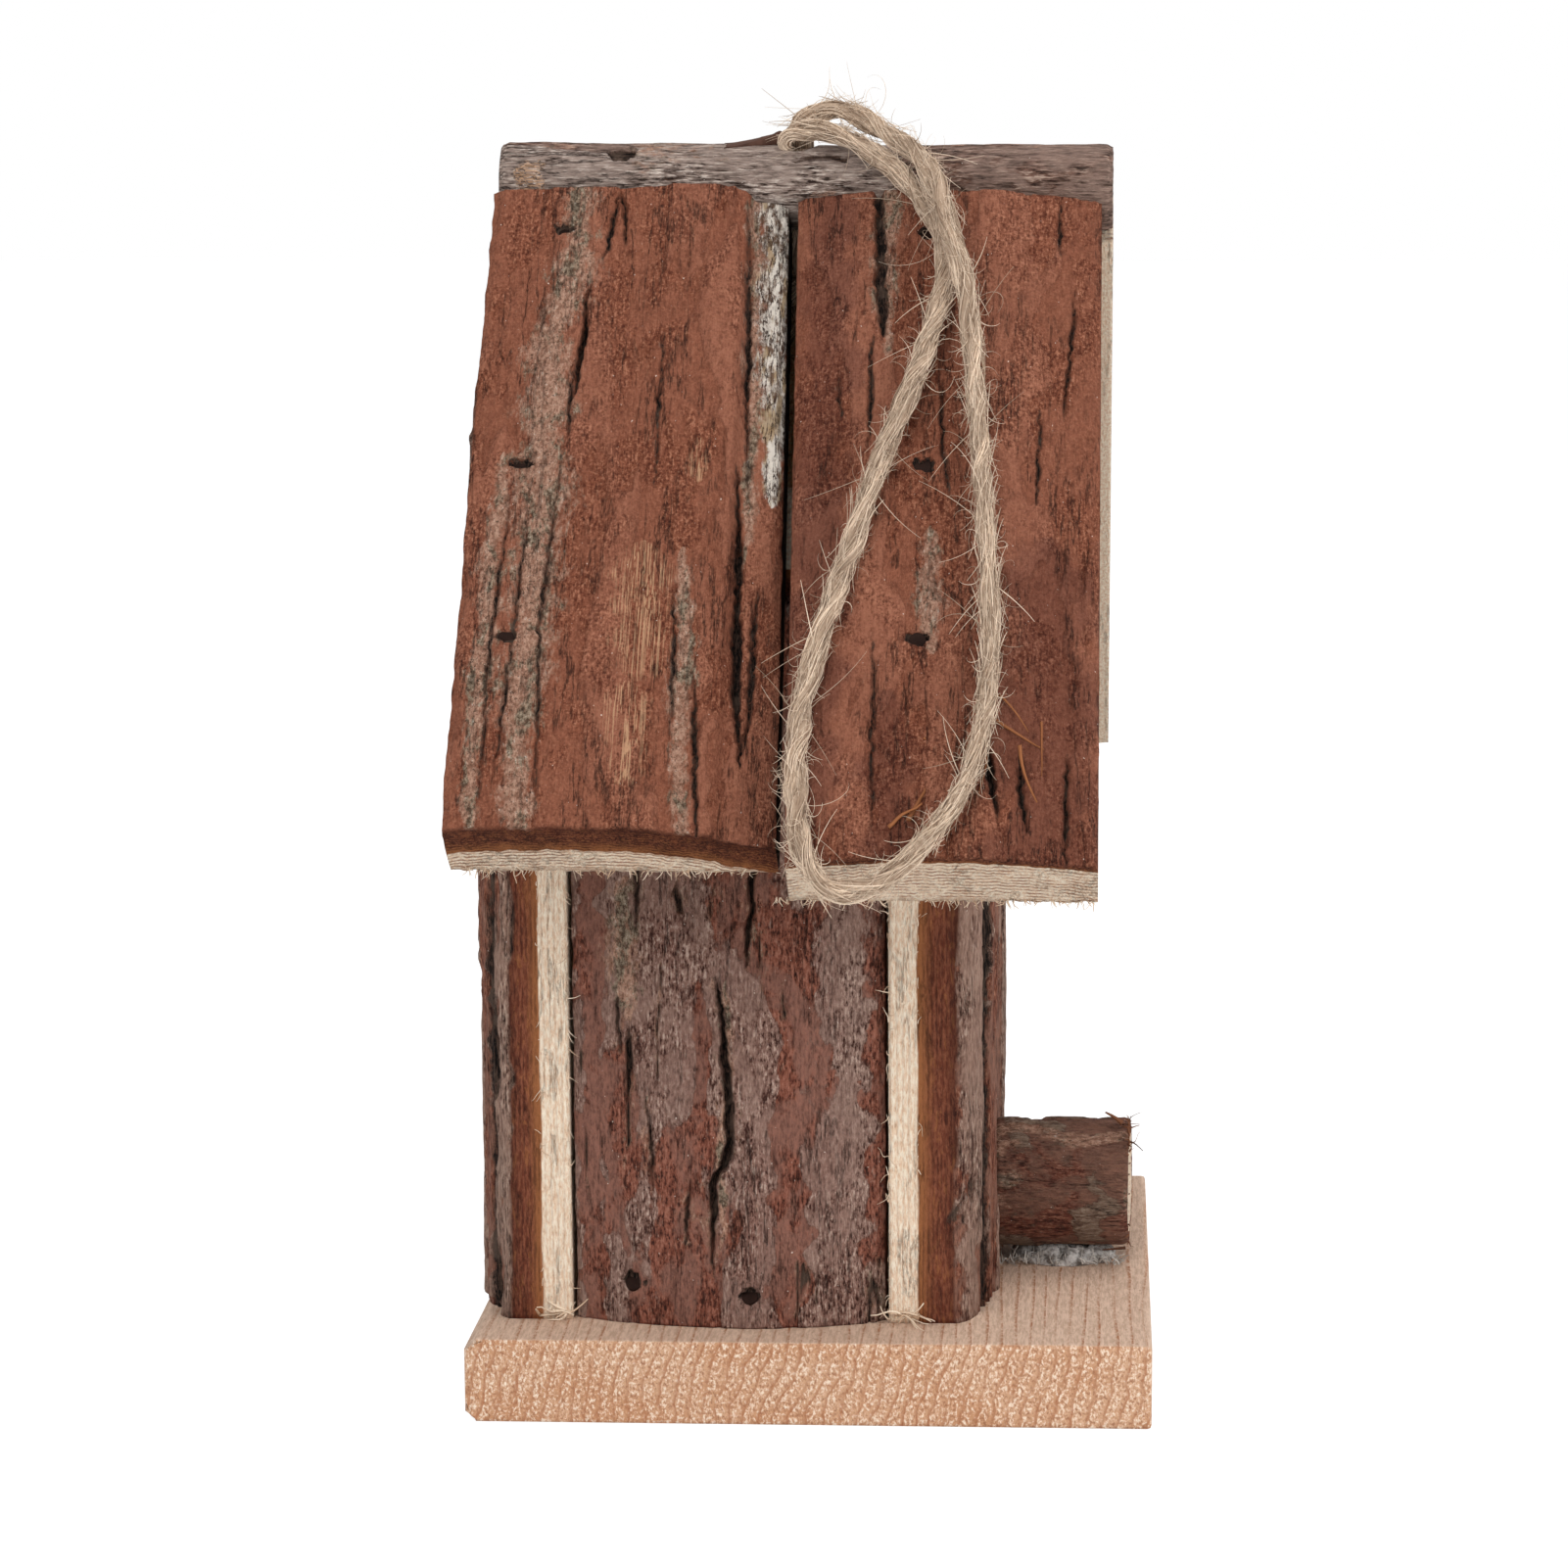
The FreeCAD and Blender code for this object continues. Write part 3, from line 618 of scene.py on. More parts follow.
def end_slab(name, node, bark, side, edge, bark_thick, inner_x, seed):
    """Half an end wall: the side at the seam follows the entrance's circle, the top the roof's slope."""
    levels = end_rows(60)
    fan_rows = 70
    skin = block_skin(76, 16, len(levels) - 1 + fan_rows)
    a, b, c = skin[0]
    row = np.rint(c * (len(levels) - 1 + fan_rows)).astype(int)
    level = levels[np.minimum(row, len(levels) - 1)]
    opening = np.sqrt(np.maximum(entrance_radius ** 2 - (level - entrance_height) ** 2, 0)) * (bark > 0)
    seam = np.maximum(end_seam, opening)
    way = -bark * side
    share = a if way > 0 else 1 - a
    x = way * (seam + share * (end_half - seam))
    top = ridge_height - under_roof - np.abs(x) * math.tan(pitch)
    fan = np.clip((row - len(levels) + 1) / fan_rows, 0, 1)
    z = level + fan * (top - levels[-1])
    axes = np.array([(inner_x, 0, 0), (0, -bark, 0), (bark, 0, 0), (0, 0, 1)])
    width = end_half - end_seam
    arc = (way * (end_seam + width / 2), width, edge, front_crown if bark > 0 else back_crown, bark_thick)
    groove = way * (front_groove if bark > 0 else back_groove)
    lip = groove - way * lip_step
    marks = {
        # The groove and the lip are splits, so their black is painted shade in the deep groove.
        "splits": (
            (groove_half, groove_depth, groove, -20, groove + 0.4, 60, groove - 0.3, 200),
            (lip_half, lip_depth, lip, -20, lip, 200),
        ),
        "kept": ((5, groove + way * 4.4, -60, groove + way * 4.4, 260),),
        "peeled": ((5, groove - way * 5, -60, groove - way * 5.4, 260),),
    }
    dress_slab(name, node, skin, x, z, arc, axes, seed, end_style, marks, end_finish)


for side, hand, seed in ((-1, "left", 11), (1, "right", 12)):
    front, back = "front_%s_" % hand, "back_%s_" % hand
    end_slab(front + "bark", front + "slab", 1, side, front_edge, front_bark, cavity_front, seed)
    end_slab(back + "bark", back + "slab", -1, side, back_edge, back_bark, cavity_back, seed + 2)

# Roof slabs
# Two offcuts a side, laid with the grain down the slope and nailed through into the end walls.
# Their scales are scraped back to rust-red inner bark, with grey lichen left in the hollows.
back_roof_edge, back_roof_crown = 8.2, 3.4
front_roof_edge, front_roof_crown = 9.4, 2.2
ridge_slip = 0.24
back_length, front_length = 100, 104
back_x = ((-44.9, -44), (-4.3, -1.85))
front_x = ((-3, -0.55), (38.8, 38.8))
right_front_x = ((-3, -0.55), (40.4, 40.4))
roof_back_bark, roof_front_bark, thin_bark = 6.6, 1.5, 0.6
brad_slopes = (7.2, 45.3, 72.3)
back_brad_x, front_brad_x = -37.7, 15.4
left_high_shift, right_high_shift = 3, 2.6

roof_finish = bark_finish(
    "roof_bark",
    ((139, 85, 65), (161, 104, 81), (124, 72, 53), (190, 131, 103)),
    ((117, 65, 46), (143, 86, 64), (70, 31, 19), (186, 128, 100)),
    ((70, 34, 22), (134, 78, 52), (160, 102, 62)), 0.85, 0.64, 0.85, 0.8)
roof_style = dict(scale=(8, 36), level=0.04, flake=0.45, split=0.6, swell=0.35, bank=0.2, rough=0.7)
left_back_marks = {
    "gap_shade_side": 1,
    "lichen": (
        (5.6, -32, -6, -32.6, 14, -35, 25, -35.4, 38, -34.6, 53, -34.4, 67, -34.9, 80, -34.5, 108),
        (2.6, -15.2, 58, -13.8, 104), (2, -8.8, -20, -7.4, 60),
        (2.6, -40, 44, -40.6, 104),
    ),
    "pale": ((3.9, -5.8, -30, -5.2, 20, -4.8, 34, -4.6, 50),),
    "splits": (
        (1, 2.2, -30.4, 16.5, -30.7, 25.3, -31.2, 35), (0.5, 1.2, -31.8, 29, -31.9, 42),
        (0.35, 0.8, -32, 40, -32.7, 53.5, -33.6, 70, -32, 100.5),
        (0.35, 0.8, -38.4, 50, -39.5, 71.5, -39.3, 97),
        (0.35, 0.8, -36, 50, -36.8, 71.5, -37, 80, -37.8, 96),
        (0.5, 1, -27.3, 0.5, -29, 13.5), (0.4, 1, -26.9, 0.5, -25.9, 10.5),
        (0.3, 0.6, -20.1, 23, -19.7, 50), (0.6, 1.1, -9.9, -1, -8.5, 33, -7.6, 52),
        (0.4, 0.8, -16.3, 63, -15.8, 88),
        (1.5, 2, -9.4, 44, -8.6, 61, -8, 80, -6.9, 90), (0.7, 1.2, -5.9, 62, -6.4, 88),
        (0.8, 1.4, -13.1, 78, -11.6, 101.5),
    ),
    "scrapes": (
        (6.5, -20.4, 57.5, -20, 79), (5.6, -21.3, 79, -20.8, 94.5),
        (1.8, -14.4, 41, -14.2, 48),
    ),
    "peeled": ((3.2, -26.5, -3, -27.4, 15), (3.2, -22.9, 29, -22, 38), (3, -9, 60, -9.5, 100)),
    "kept": ((2.4, -12.4, 60, -12.2, 81),),
    "ridge_twist": ((-44.9, 1), (-38, 0.3), (-28, 0), (-20, 1.1), (-11.5, 2), (-9.8, 1.7), (-8.8, 0)),
    "eave_twist": ((-20, 0), (-10, -0.9), (-1.8, -1.2)),
    "pits": [(back_brad_x + left_high_shift * (s < 20), s, 0.65) for s in brad_slopes],
    "profile": ((-44.3, 2.6), (-41.1, 2.07), (-38.1, 1.63), (-35.1, 1.26), (-32.1, 0.93), (-29.1, 0.66),
                (-26.1, 0.43), (-23.1, 0.25), (-17.1, 0.03), (-10.05, 0), (-9.05, -0.84), (-1.8, -0.9)),
}
left_front_marks = {
    "gap_shade_side": 0,
    "splits": (
        (2, 1.5, 7.6, -6, 8.8, 12.3, 9.7, 25), (0.5, 1.1, 8.2, 24, 8.2, 43),
        (0.35, 0.8, 3.7, 30, 4.5, 38), (0.45, 1, 17.6, 31, 17.8, 41, 19.3, 52),
        (0.4, 0.9, 33.1, 0, 33.1, 11), (0.5, 1, 35.2, 15, 33.9, 38),
        (0.35, 0.9, 30.4, 35, 30.5, 52), (0.35, 0.9, 9.6, 70, 10.4, 102),
        (0.5, 1.2, 34.5, 88, 34.9, 106), (1.1, 1.3, 24.2, 86, 26, 99),
        (0.9, 1.2, 28.6, 88, 29.6, 101),
    ),
    "lichen": ((2.6, 9.4, -8, 9.9, 28), (2.6, 16.4, 55, 17.4, 75)),
    "stains": ((12, 32, 56, 32, 130), (6, 2, -20, 2, 130), (6, 12, 80, 13, 120)),
    "peeled": ((6, 31, 59.5, 32, 80, 32, 104), (3, 15, 75, 14, 104)),
    "kept": ((2, 16, 75, 15.6, 82.5), (4.5, 26, -4, 28, 30, 27, 56)),
    "pits": [(front_brad_x, s, 0.8) for s in brad_slopes],
}
right_back_marks = {
    "gap_shade_side": 0,
    "pits": [(-back_brad_x, s, 1) for s in brad_slopes],
    "lichen": ((4.4, 20, -6, 24, 50, 22, 108), (2.6, 39.5, 40, 40.5, 104)),
    "scrapes": ((4.5, 31, 30, 30, 62), (2, 12, 12, 12.4, 24)),
    "splits": (
        (0.9, 1.8, 25.8, 12, 27.4, 36), (0.5, 1.2, 19, 44, 18.2, 78),
        (0.4, 1, 35.2, 52, 36.4, 96), (0.8, 1.4, 11.2, 66, 10, 101),
        (0.4, 0.9, 15, 4, 14.4, 30),
    ),
    "peeled": ((3.4, 16, 40, 15, 96), (3, 33, -4, 34, 24)),
}
right_front_marks = {
    "gap_shade_side": 1,
    "pits": [(-front_brad_x - right_high_shift * (s < 20), s, 1) for s in brad_slopes],
    "lichen": ((3.4, -30, 4, -27, 64), (2.4, -9.4, 50, -10.2, 108)),
    "scrapes": ((3.6, -21, 62, -20, 88),),
    "splits": (
        (1.1, 1.4, -26, 18, -25, 44), (0.5, 1.1, -12.4, 8, -11, 46),
        (0.6, 1.2, -34.4, 48, -35.4, 98), (0.9, 1.3, -8, 74, -7.2, 104),
    ),
    "stains": ((7, -4, -20, -4.6, 130), (6, -32, 60, -33, 120)),
}


def roof_slab(name, node, side, edges, length, bark_line, bark_thick, seed, marks):
    """A roof offcut: columns go across between its two sawn edges, rows go down the slope."""
    skin = block_skin(150 if side < 0 else 104, 12, 260)
    a, b, c = skin[0]
    (back_top, back_eave), (front_top, front_eave) = edges
    back = back_top + c * (back_eave - back_top)
    front = front_top + c * (front_eave - front_top)
    share = a if side < 0 else 1 - a
    x = -side * (back + share * (front - back))
    low = min(back_top, back_eave)
    high = max(front_top, front_eave)
    ragged = 0.2 * fractal(x / 1, b * 4, seed + 20, 3) * (c > 0.999)
    z = ridge_slip + c * length + ragged
    down = (0, side * math.cos(pitch), -math.sin(pitch))
    out = (0, side * math.sin(pitch), math.cos(pitch))
    axes = np.array([(0, 0, ridge_height), (-side, 0, 0), out, down])
    arc = (-side * (low + high) / 2, high - low, *bark_line, bark_thick)
    style = dict(roof_style, split_from=0.42 if side > 0 else 1)
    dress_slab(name, node, skin, x, z, arc, axes, seed, style, marks, roof_finish)


back_line = (back_roof_edge, back_roof_crown)
front_line = (front_roof_edge, front_roof_crown)
for side, hand, seed, marks, edges, bark_thick in (
        (-1, "left", 21, left_back_marks, back_x, roof_back_bark),
        (-1, "left", 22, left_front_marks, front_x, roof_front_bark),
        (1, "right", 23, right_back_marks, back_x, roof_back_bark),
        (1, "right", 24, right_front_marks, right_front_x, thin_bark)):
    at_back = edges is back_x
    slab = "%s_roof_%s_" % (hand, "back" if at_back else "front")
    length, line = (back_length, back_line) if at_back else (front_length, front_line)
    roof_slab(slab + "bark", slab + "slab", side, edges, length, line, bark_thick, seed, marks)


def unit(ways):
    """Vectors of length 1 along given ways."""
    return ways / np.linalg.norm(ways, axis=1, keepdims=True)


def tube_skin(lines, side, rise, radius, corners):
    """Round tubes with closed ends along many lines: circles in each point's side and rise directions."""
    count, steps = lines.shape[:2]
    turn = np.arange(corners) * 2 * math.pi / corners
    circle = np.cos(turn)[:, None] * side[..., None, :] + np.sin(turn)[:, None] * rise[..., None, :]
    points = lines[:, :, None] + radius[..., None, None] * circle
    index = np.arange(count * steps * corners).reshape(count, steps, corners)
    beside = np.roll(index, -1, axis=2)
    quads = np.stack([index[:, :-1], beside[:, :-1], beside[:, 1:], index[:, 1:]], -1).reshape(-1, 4)
    return points.reshape(-1, 3), [quads, index[:, 0, ::-1], index[:, -1]]


def add_hairs(name, lines, radius, material, slot, seed):
    """A piece of many hairs, each a three-sided tapering tube with a random tint: two perpendiculars of the
    hair's chord carry the corners."""
    chord = unit(lines[:, -1] - lines[:, 0])
    side = unit(np.cross(chord, np.where(np.abs(chord[:, 2:]) < 0.8, (0, 0, 1), (1, 0, 0))))
    thick = radius[:, None] * np.linspace(1, 0.35, lines.shape[1])
    points, faces = tube_skin(lines, side[:, None], np.cross(chord, side)[:, None], thick, 3)
    tint = np.repeat(np.random.default_rng(seed).random(len(lines)) * 0.8, lines.shape[1] * 3)
    piece = add_piece(name, points, faces, material, {"tint": tint})
    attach(piece, "house")
    return piece


def hair_lines(roots, ways, lengths, curl, seed, steps=7):
    """Lines from roots along ways, bent by a random sideways curl that grows with the square of the
    distance, and by a smaller wave."""
    random = np.random.default_rng(seed)
    ways = unit(ways)
    bend = random.normal(size=ways.shape)
    bend = bend - (bend * ways).sum(1, keepdims=True) * ways
    wave = np.cross(bend, ways) * random.normal(size=(len(ways), 1))
    t = np.linspace(0, 1, steps)[None, :, None]
    curled = t * t * bend[:, None] + 0.25 * np.sin(5 * t) * t * wave[:, None]
    return roots[:, None] + lengths[:, None, None] * (t * ways[:, None] + curl * curled)


def shred_finish(name, dark, light):
    """Loose fibres of one colour, each a little lighter or darker by its own tint."""
    shred = Finish(name, 0.8)
    fleck = shred.grain(shred.place(), (1500, 1500, 1500), 3)
    return shred.finish(shred.mix(shred.field("tint", "Fac") + fleck * 0.4, dark, light), fleck, 0.02 * MM)


def on_roof(x, side, down, out):
    """Places on a roof slope from the place along the ridge, the way down it and the height out of it."""
    y = side * (down * math.cos(pitch) + out * math.sin(pitch))
    return np.stack([x, y, ridge_height - down * math.sin(pitch) + out * math.cos(pitch)], 1)


eave_span, roof_gap_x = (-42.5, 38.5), -2.5
back_rind_x, front_rind_x = -36.9, 14.6
edge_top = 92
back_foot_span, front_foot_span = (-37.5, -33), (10.6, 15)


def wood_splinters(random):
    """Splinters as lines and thicknesses: at the eaves, up the end walls' edges, and at their feet."""
    eaves, edges, feet, back_feet = 380, 150, 22, 10
    x = random.uniform(*eave_span, eaves)
    side = random.choice((-1, -1, 1), eaves)
    down = ridge_slip + np.where(x < roof_gap_x, back_length, front_length)
    eave_roots = on_roof(x, side, down - 0.1, random.exponential(0.3, eaves))
    eave_tips = on_roof(x + random.normal(0, 0.5, eaves), side, down + 0.6, random.normal(-0.4, 0.4, eaves))
    places = (cavity_back, cavity_back, back_rind_x, cavity_front, cavity_front, front_rind_x)
    edge_x = random.choice(places, edges)
    edge_z = random.uniform(wall_low + 1, edge_top, edges)
    edge_roots = np.stack([edge_x, np.full(edges, -end_half), edge_z], 1)
    edge_ways = random.normal(0, 1, (edges, 3)) * (0.5, 0.2, 1.6) - (0, 0.4, 0)
    behind = random.uniform(*back_foot_span, feet)
    before = random.uniform(*front_foot_span, feet)
    foot_x = np.where(np.arange(feet) < back_feet, behind, before)
    foot_y = random.uniform(-35.2, -34.8, feet)
    foot_roots = np.stack([foot_x, foot_y, wall_low + random.uniform(0.3, 1.6, feet)], 1)
    foot_ways = random.normal(0, 1, (feet, 3)) * (1.2, 0.3, 0.25) - (0, 0.5, 0)
    lines = np.concatenate([
        hair_lines(eave_roots, eave_tips - eave_roots, random.uniform(0.4, 1.5, eaves), 0.4, 28),
        hair_lines(edge_roots, edge_ways, random.uniform(0.5, 1.8, edges), 0.4, 29),
        hair_lines(foot_roots, foot_ways, random.uniform(2, 5, feet), 0.35, 30)])
    lines[:, :, 2] = np.maximum(lines[:, :, 2], wall_low + 0.2)
    thick = ((0.05, 0.14, eaves), (0.05, 0.11, edges), (0.14, 0.32, feet))
    return lines, np.concatenate([random.uniform(*each) for each in thick])


splinter_random = np.random.default_rng(27)
wood_shreds = shred_finish("wood_splinters", (196, 158, 124), (250, 234, 212))
add_hairs("wood_splinters", *wood_splinters(splinter_random), wood_shreds, "bark_slab", 31)

amber_shreds = shred_finish("bark_splinters", (96, 54, 36), (170, 110, 70))
torn_ends = np.array([
    (25.2, 84, 31.2, 88.8), (26, 80.5, 30.5, 85), (16.6, 87, 21.2, 88), (24.4, 87.5, 25.2, 95),
    (28.8, 88, 29.3, 96), (15, 99, 17.2, 93.5), (12.6, 100, 16.4, 97), (31.5, 84.5, 31.9, 92)])
front_roof_top = front_roof_edge + front_roof_crown
torn_from = on_roof(torn_ends[:, 0], -1, torn_ends[:, 1], front_roof_top - 0.1)
torn_to = on_roof(torn_ends[:, 2], -1, torn_ends[:, 3], front_roof_top - 0.3)
torn_long = np.linalg.norm(torn_to - torn_from, axis=1)
torn_lines = hair_lines(torn_from, torn_to - torn_from, torn_long, 0.16, 32)
torn_thick = splinter_random.uniform(0.2, 0.42, len(torn_lines))
add_hairs("bark_splinters", torn_lines, torn_thick, amber_shreds, "bark_slab", 33)

# Ridge pole
# A straight barked stick in the groove where the roof slabs meet, held by two brads.
# Its bark is thin, grey and streaky, and a hole for the cord is bored down through it.
pole_low, pole_high = (np.array(corner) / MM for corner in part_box("ridge_pole"))
pole_bark = 0.9
cord_hole_x = -3.6
cord_hole_radius = 2.4
ridge_brads = ((-27.6, 39), (23.3, -39))
flake_from, flake_long = -13.6, 7.9


def stick_skin(around, along, rings):
    """A round stick's skin: rings grow from one end's middle, run along it, and shrink to the other's.
    Gives each point's turn, place along and share of the radius, all from 0 to 1, and the faces."""
    grow = np.linspace(0, 1, rings + 1)[1:-1]
    share = np.concatenate([grow, np.ones(along + 1), grow[::-1]])
    place = np.concatenate([grow * 0, np.linspace(0, 1, along + 1), grow * 0 + 1])
    rows = len(share)
    turn = np.tile(np.arange(around) / around, rows)
    index = np.arange(rows * around).reshape(rows, around)
    beside = np.roll(index, -1, axis=1)
    quads = np.stack([index[:-1], beside[:-1], beside[1:], index[1:]], -1).reshape(-1, 4)
    first = np.full(around, rows * around)
    start = np.stack([first, beside[0], index[0]], -1)
    end = np.stack([first + 1, index[-1], beside[-1]], -1)
    turn = np.append(turn, [0, 0])
    place = np.append(np.repeat(place, around), [0, 1])
    share = np.append(np.repeat(share, around), [0, 0])
    return turn, place, share, [quads, start, end]


def dress_stick(name, node, low, high, bark, seed, style, marks, material):
    """A barked stick along X: its radius carries the bark's relief, unrolled, and its ends are sawn.
    Pits are sunk at a place and an angle from the top, and a bore goes down into it."""
    turn, place, share, faces = stick_skin(*marks["grid"])
    middle = (low + high) / 2
    radius = (high[2] - low[2]) / 2
    angle = 2 * math.pi * turn - math.pi
    along = low[0] + place * (high[0] - low[0])
    unrolled = angle * radius
    rise, split, bank, peeled = bark_relief(unrolled, along, seed, style)
    lichen = smooth(fractal(unrolled / 5, along / 12, seed + 30, 4), 0.05, 0.35) * marks["lichen"]
    lichen = np.maximum(lichen, style["bank"] * bank)
    # Pits round the brads take the split mark, so they are painted black: painted shade in the pit.
    for pit_x, pit_angle in marks.get("pits", ()):
        away = np.hypot((along - pit_x) / 1.5, unrolled - math.radians(pit_angle) * radius)
        away = away + 0.35 * noise(along / 0.8, unrolled / 0.8, seed + 31)
        rise = rise * smooth(away, 1.5, 3.5) - 0.8 * smooth(away, 1.5, 1)
        split = np.maximum(split, smooth(away, 1.6, 1.1))
    # The cord's bore takes the split mark, so it is painted black: painted shade down the hole.
    for bore_x, bore_radius in marks.get("bores", ()):
        away = np.hypot(along - bore_x, radius * np.sin(angle)) + 9 * (np.cos(angle) < 0)
        sunk = smooth(away, bore_radius + 0.4, bore_radius - 0.3)
        rise = rise * smooth(away, bore_radius, bore_radius + 1) - 4 * sunk
        split = np.maximum(split, smooth(away, bore_radius + 0.4, bore_radius - 0.4))
    scrape = np.zeros_like(split)
    bare_from, bare_to = marks["bare"]
    bared = smooth(along + 5 * fractal(unrolled / 4, along / 9, seed + 35, 4), bare_from, bare_to)
    peeled = np.maximum(peeled, bared)
    for knot_x, knot_angle, knot_radius in marks.get("knots", ()):
        away = np.hypot(along - knot_x, unrolled - math.radians(knot_angle) * radius) / knot_radius
        away = away + 0.7 * fractal(along / 1.2, unrolled / 1.2, seed + 33, 3)
        rise += 0.5 * smooth(away, 1.1, 0.5) * (1 + fractal(along / 0.7, unrolled / 0.7, seed + 34, 3))
        scrape = np.maximum(scrape, smooth(away, 1.2, 0.6))
    rise -= 0.35 * smooth(np.minimum(place, 1 - place) * (high[0] - low[0]), 0.9, 0)
    rise = np.minimum(rise, 0.45) + marks["thick"] * smooth(along, 5, -40)
    reach = share * (radius + rise)
    points = np.stack([along, middle[1] - reach * np.sin(angle), middle[2] + reach * np.cos(angle)], 1)
    points[:, 0] -= marks["tilt"] * place * (1 + np.sin(angle) * share)
    points[:, 0] += (share < 1) * 0.12 * fractal(points[:, 1] / 0.8, points[:, 2] / 0.8, seed + 32, 3)
    nothing = np.zeros_like(split)
    depth = (1 - share) * radius
    grain_at = (points[:, 1] + grain_shift * seed, points[:, 2], points[:, 0])
    add_bark(name, node, points, faces, material, grain_at, (split, lichen, nothing),
             (2.6 * scrape, peeled, (share < 1).astype(float)), (depth / bark, depth, nothing))


pole_finish = bark_finish(
    "pole_bark",
    ((126, 108, 99), (172, 153, 142), (152, 133, 123), (226, 210, 198)),
    ((94, 66, 55), (132, 100, 87), (44, 31, 26), (188, 162, 146)),
    ((98, 62, 46), (120, 80, 60), (150, 100, 66)), 0.16, 1, 0.3)
pole_style = dict(scale=(7, 30), level=-0.25, flake=0.16, split=0.35, split_from=0.12, swell=0.35, bank=0.3,
                  rough=1)
pole_marks = dict(grid=(128, 300, 14), lichen=0.5, bare=(4, 18), pits=ridge_brads, knots=((-40.1, 72, 2.3),),
                  tilt=0, thick=0.6, bores=((cord_hole_x, cord_hole_radius),))
dress_stick(
    "ridge_stick", "ridge_pole", pole_low, pole_high, pole_bark, 31, pole_style, pole_marks, pole_finish)


def lifted_flake():
    """A flake of bark over the pole: a patch of its round that rises by the power 1.5 of its length."""
    (u, b, v), quads = block_skin(30, 2, 12)
    middle = (pole_low + pole_high) / 2
    lift = 1.5 * u ** 1.5 + 0.35 * fractal(u * 6, v * 4, 35, 3) * u
    # The flake is filled down into the pole as a solid dark wedge: painted shade where the gap under a lifted
    # flake would be.
    reach = (pole_high[2] - pole_low[2]) / 2 - 0.3 + (lift + 0.7) * b
    turn = np.radians(-8 + (34 - 20 * u) * v)
    x = flake_from + flake_long * u + 0.7 * fractal(v * 5, u * 3, 36, 3)
    points = np.stack([x, middle[1] - reach * np.sin(turn), middle[2] + reach * np.cos(turn)], 1)
    finish = shred_finish("pole_flake", (40, 26, 22), (104, 74, 62))
    tint = 0.3 + 0.5 * fractal(u * 6, v * 14, 37, 4)
    return add_piece("pole_flake", points, [quads], finish, {"tint": tint})


pole_flake = lifted_flake()
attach(pole_flake, "house")

# Perch log
# A short thick barked log on the porch under the entrance, laid along the board.
# It is set in a bead of hot glue, and its sawn end keeps a few torn shreds of bark.
perch_low, perch_high = (np.array(corner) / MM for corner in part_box("perch_log"))
perch_bark = 1.6
perch_finish = bark_finish(
    "perch_bark",
    ((108, 88, 74), (140, 120, 104), (126, 108, 92), (172, 154, 136)),
    ((98, 56, 46), (130, 82, 66), (46, 27, 22), (160, 114, 94)),
    ((98, 52, 38), (122, 70, 50), (150, 94, 54)), 0.4, 0.7, 0.3)
perch_end = perch_high[0]
perch_style = dict(
    scale=(6, 11), level=0, flake=0.3, split=0.6, split_from=0.5, swell=0.3, bank=0.5, rough=0.6)
perch_marks = dict(grid=(150, 70, 22), lichen=0.7, bare=(perch_end - 5.5, perch_end - 2), tilt=0.4, thick=0)
dress_stick(
    "perch_stick", "perch_log", perch_low, perch_high, perch_bark, 37, perch_style, perch_marks, perch_finish)


def torn_shreds(random):
    """Shreds as lines and thicknesses: a tuft and a ring of bark at the sawn end's rim, and two twigs."""
    tuft, ring = 26, 30
    turn = np.radians(np.concatenate([random.normal(35, 18, tuft), random.uniform(-180, 180, ring)]))
    reach = (perch_high[2] - perch_low[2]) / 2 - 0.3
    middle = (perch_low + perch_high) / 2
    x = np.full(len(turn), perch_end - 0.6)
    roots = np.stack([x, middle[1] - reach * np.sin(turn), middle[2] + reach * np.cos(turn)], 1)
    ways = roots - middle
    ways[:, 0] = random.normal(2, 6, len(turn))
    lengths = np.concatenate([random.uniform(0.5, 1.7, tuft), random.uniform(0.3, 0.9, ring)])
    twig_roots = np.array([
        (perch_end - 1.6, -2, perch_high[2] - 0.1), (perch_end - 1, -5.4, perch_low[2] + 0.8)])
    twig_ways = np.array([(-2, -0.4, 2), (-2.6, -0.5, -0.2)])
    lines = np.concatenate([
        hair_lines(roots, ways, lengths, 0.5, 8),
        hair_lines(twig_roots, twig_ways, np.array([3, 3.4]), 0.12, 10)])
    return lines, np.append(random.uniform(0.08, 0.2, len(turn)), [0.42, 0.28])


dark_shreds = shred_finish("bark_shreds", (44, 27, 21), (140, 92, 66))
add_hairs("perch_shreds", *torn_shreds(np.random.default_rng(7)), dark_shreds, "barked_stick", 9)

# Glue bead
# A bead of cloudy hot glue squeezed out under the perch, set rough and full of dust and threads.
glue_low, glue_high = (np.array(corner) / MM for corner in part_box("perch_glue"))
glue_finish = Finish("cloudy_glue", 0.5)
glue_cloud = glue_finish.grain(glue_finish.place(), (700, 700, 900), 6, 0.75)
glue_colour = glue_finish.mix(glue_cloud.step(0.38, 0.62), (104, 97, 91), (206, 202, 198))
glue_finish.finish(glue_colour, glue_cloud, 0.4 * MM)


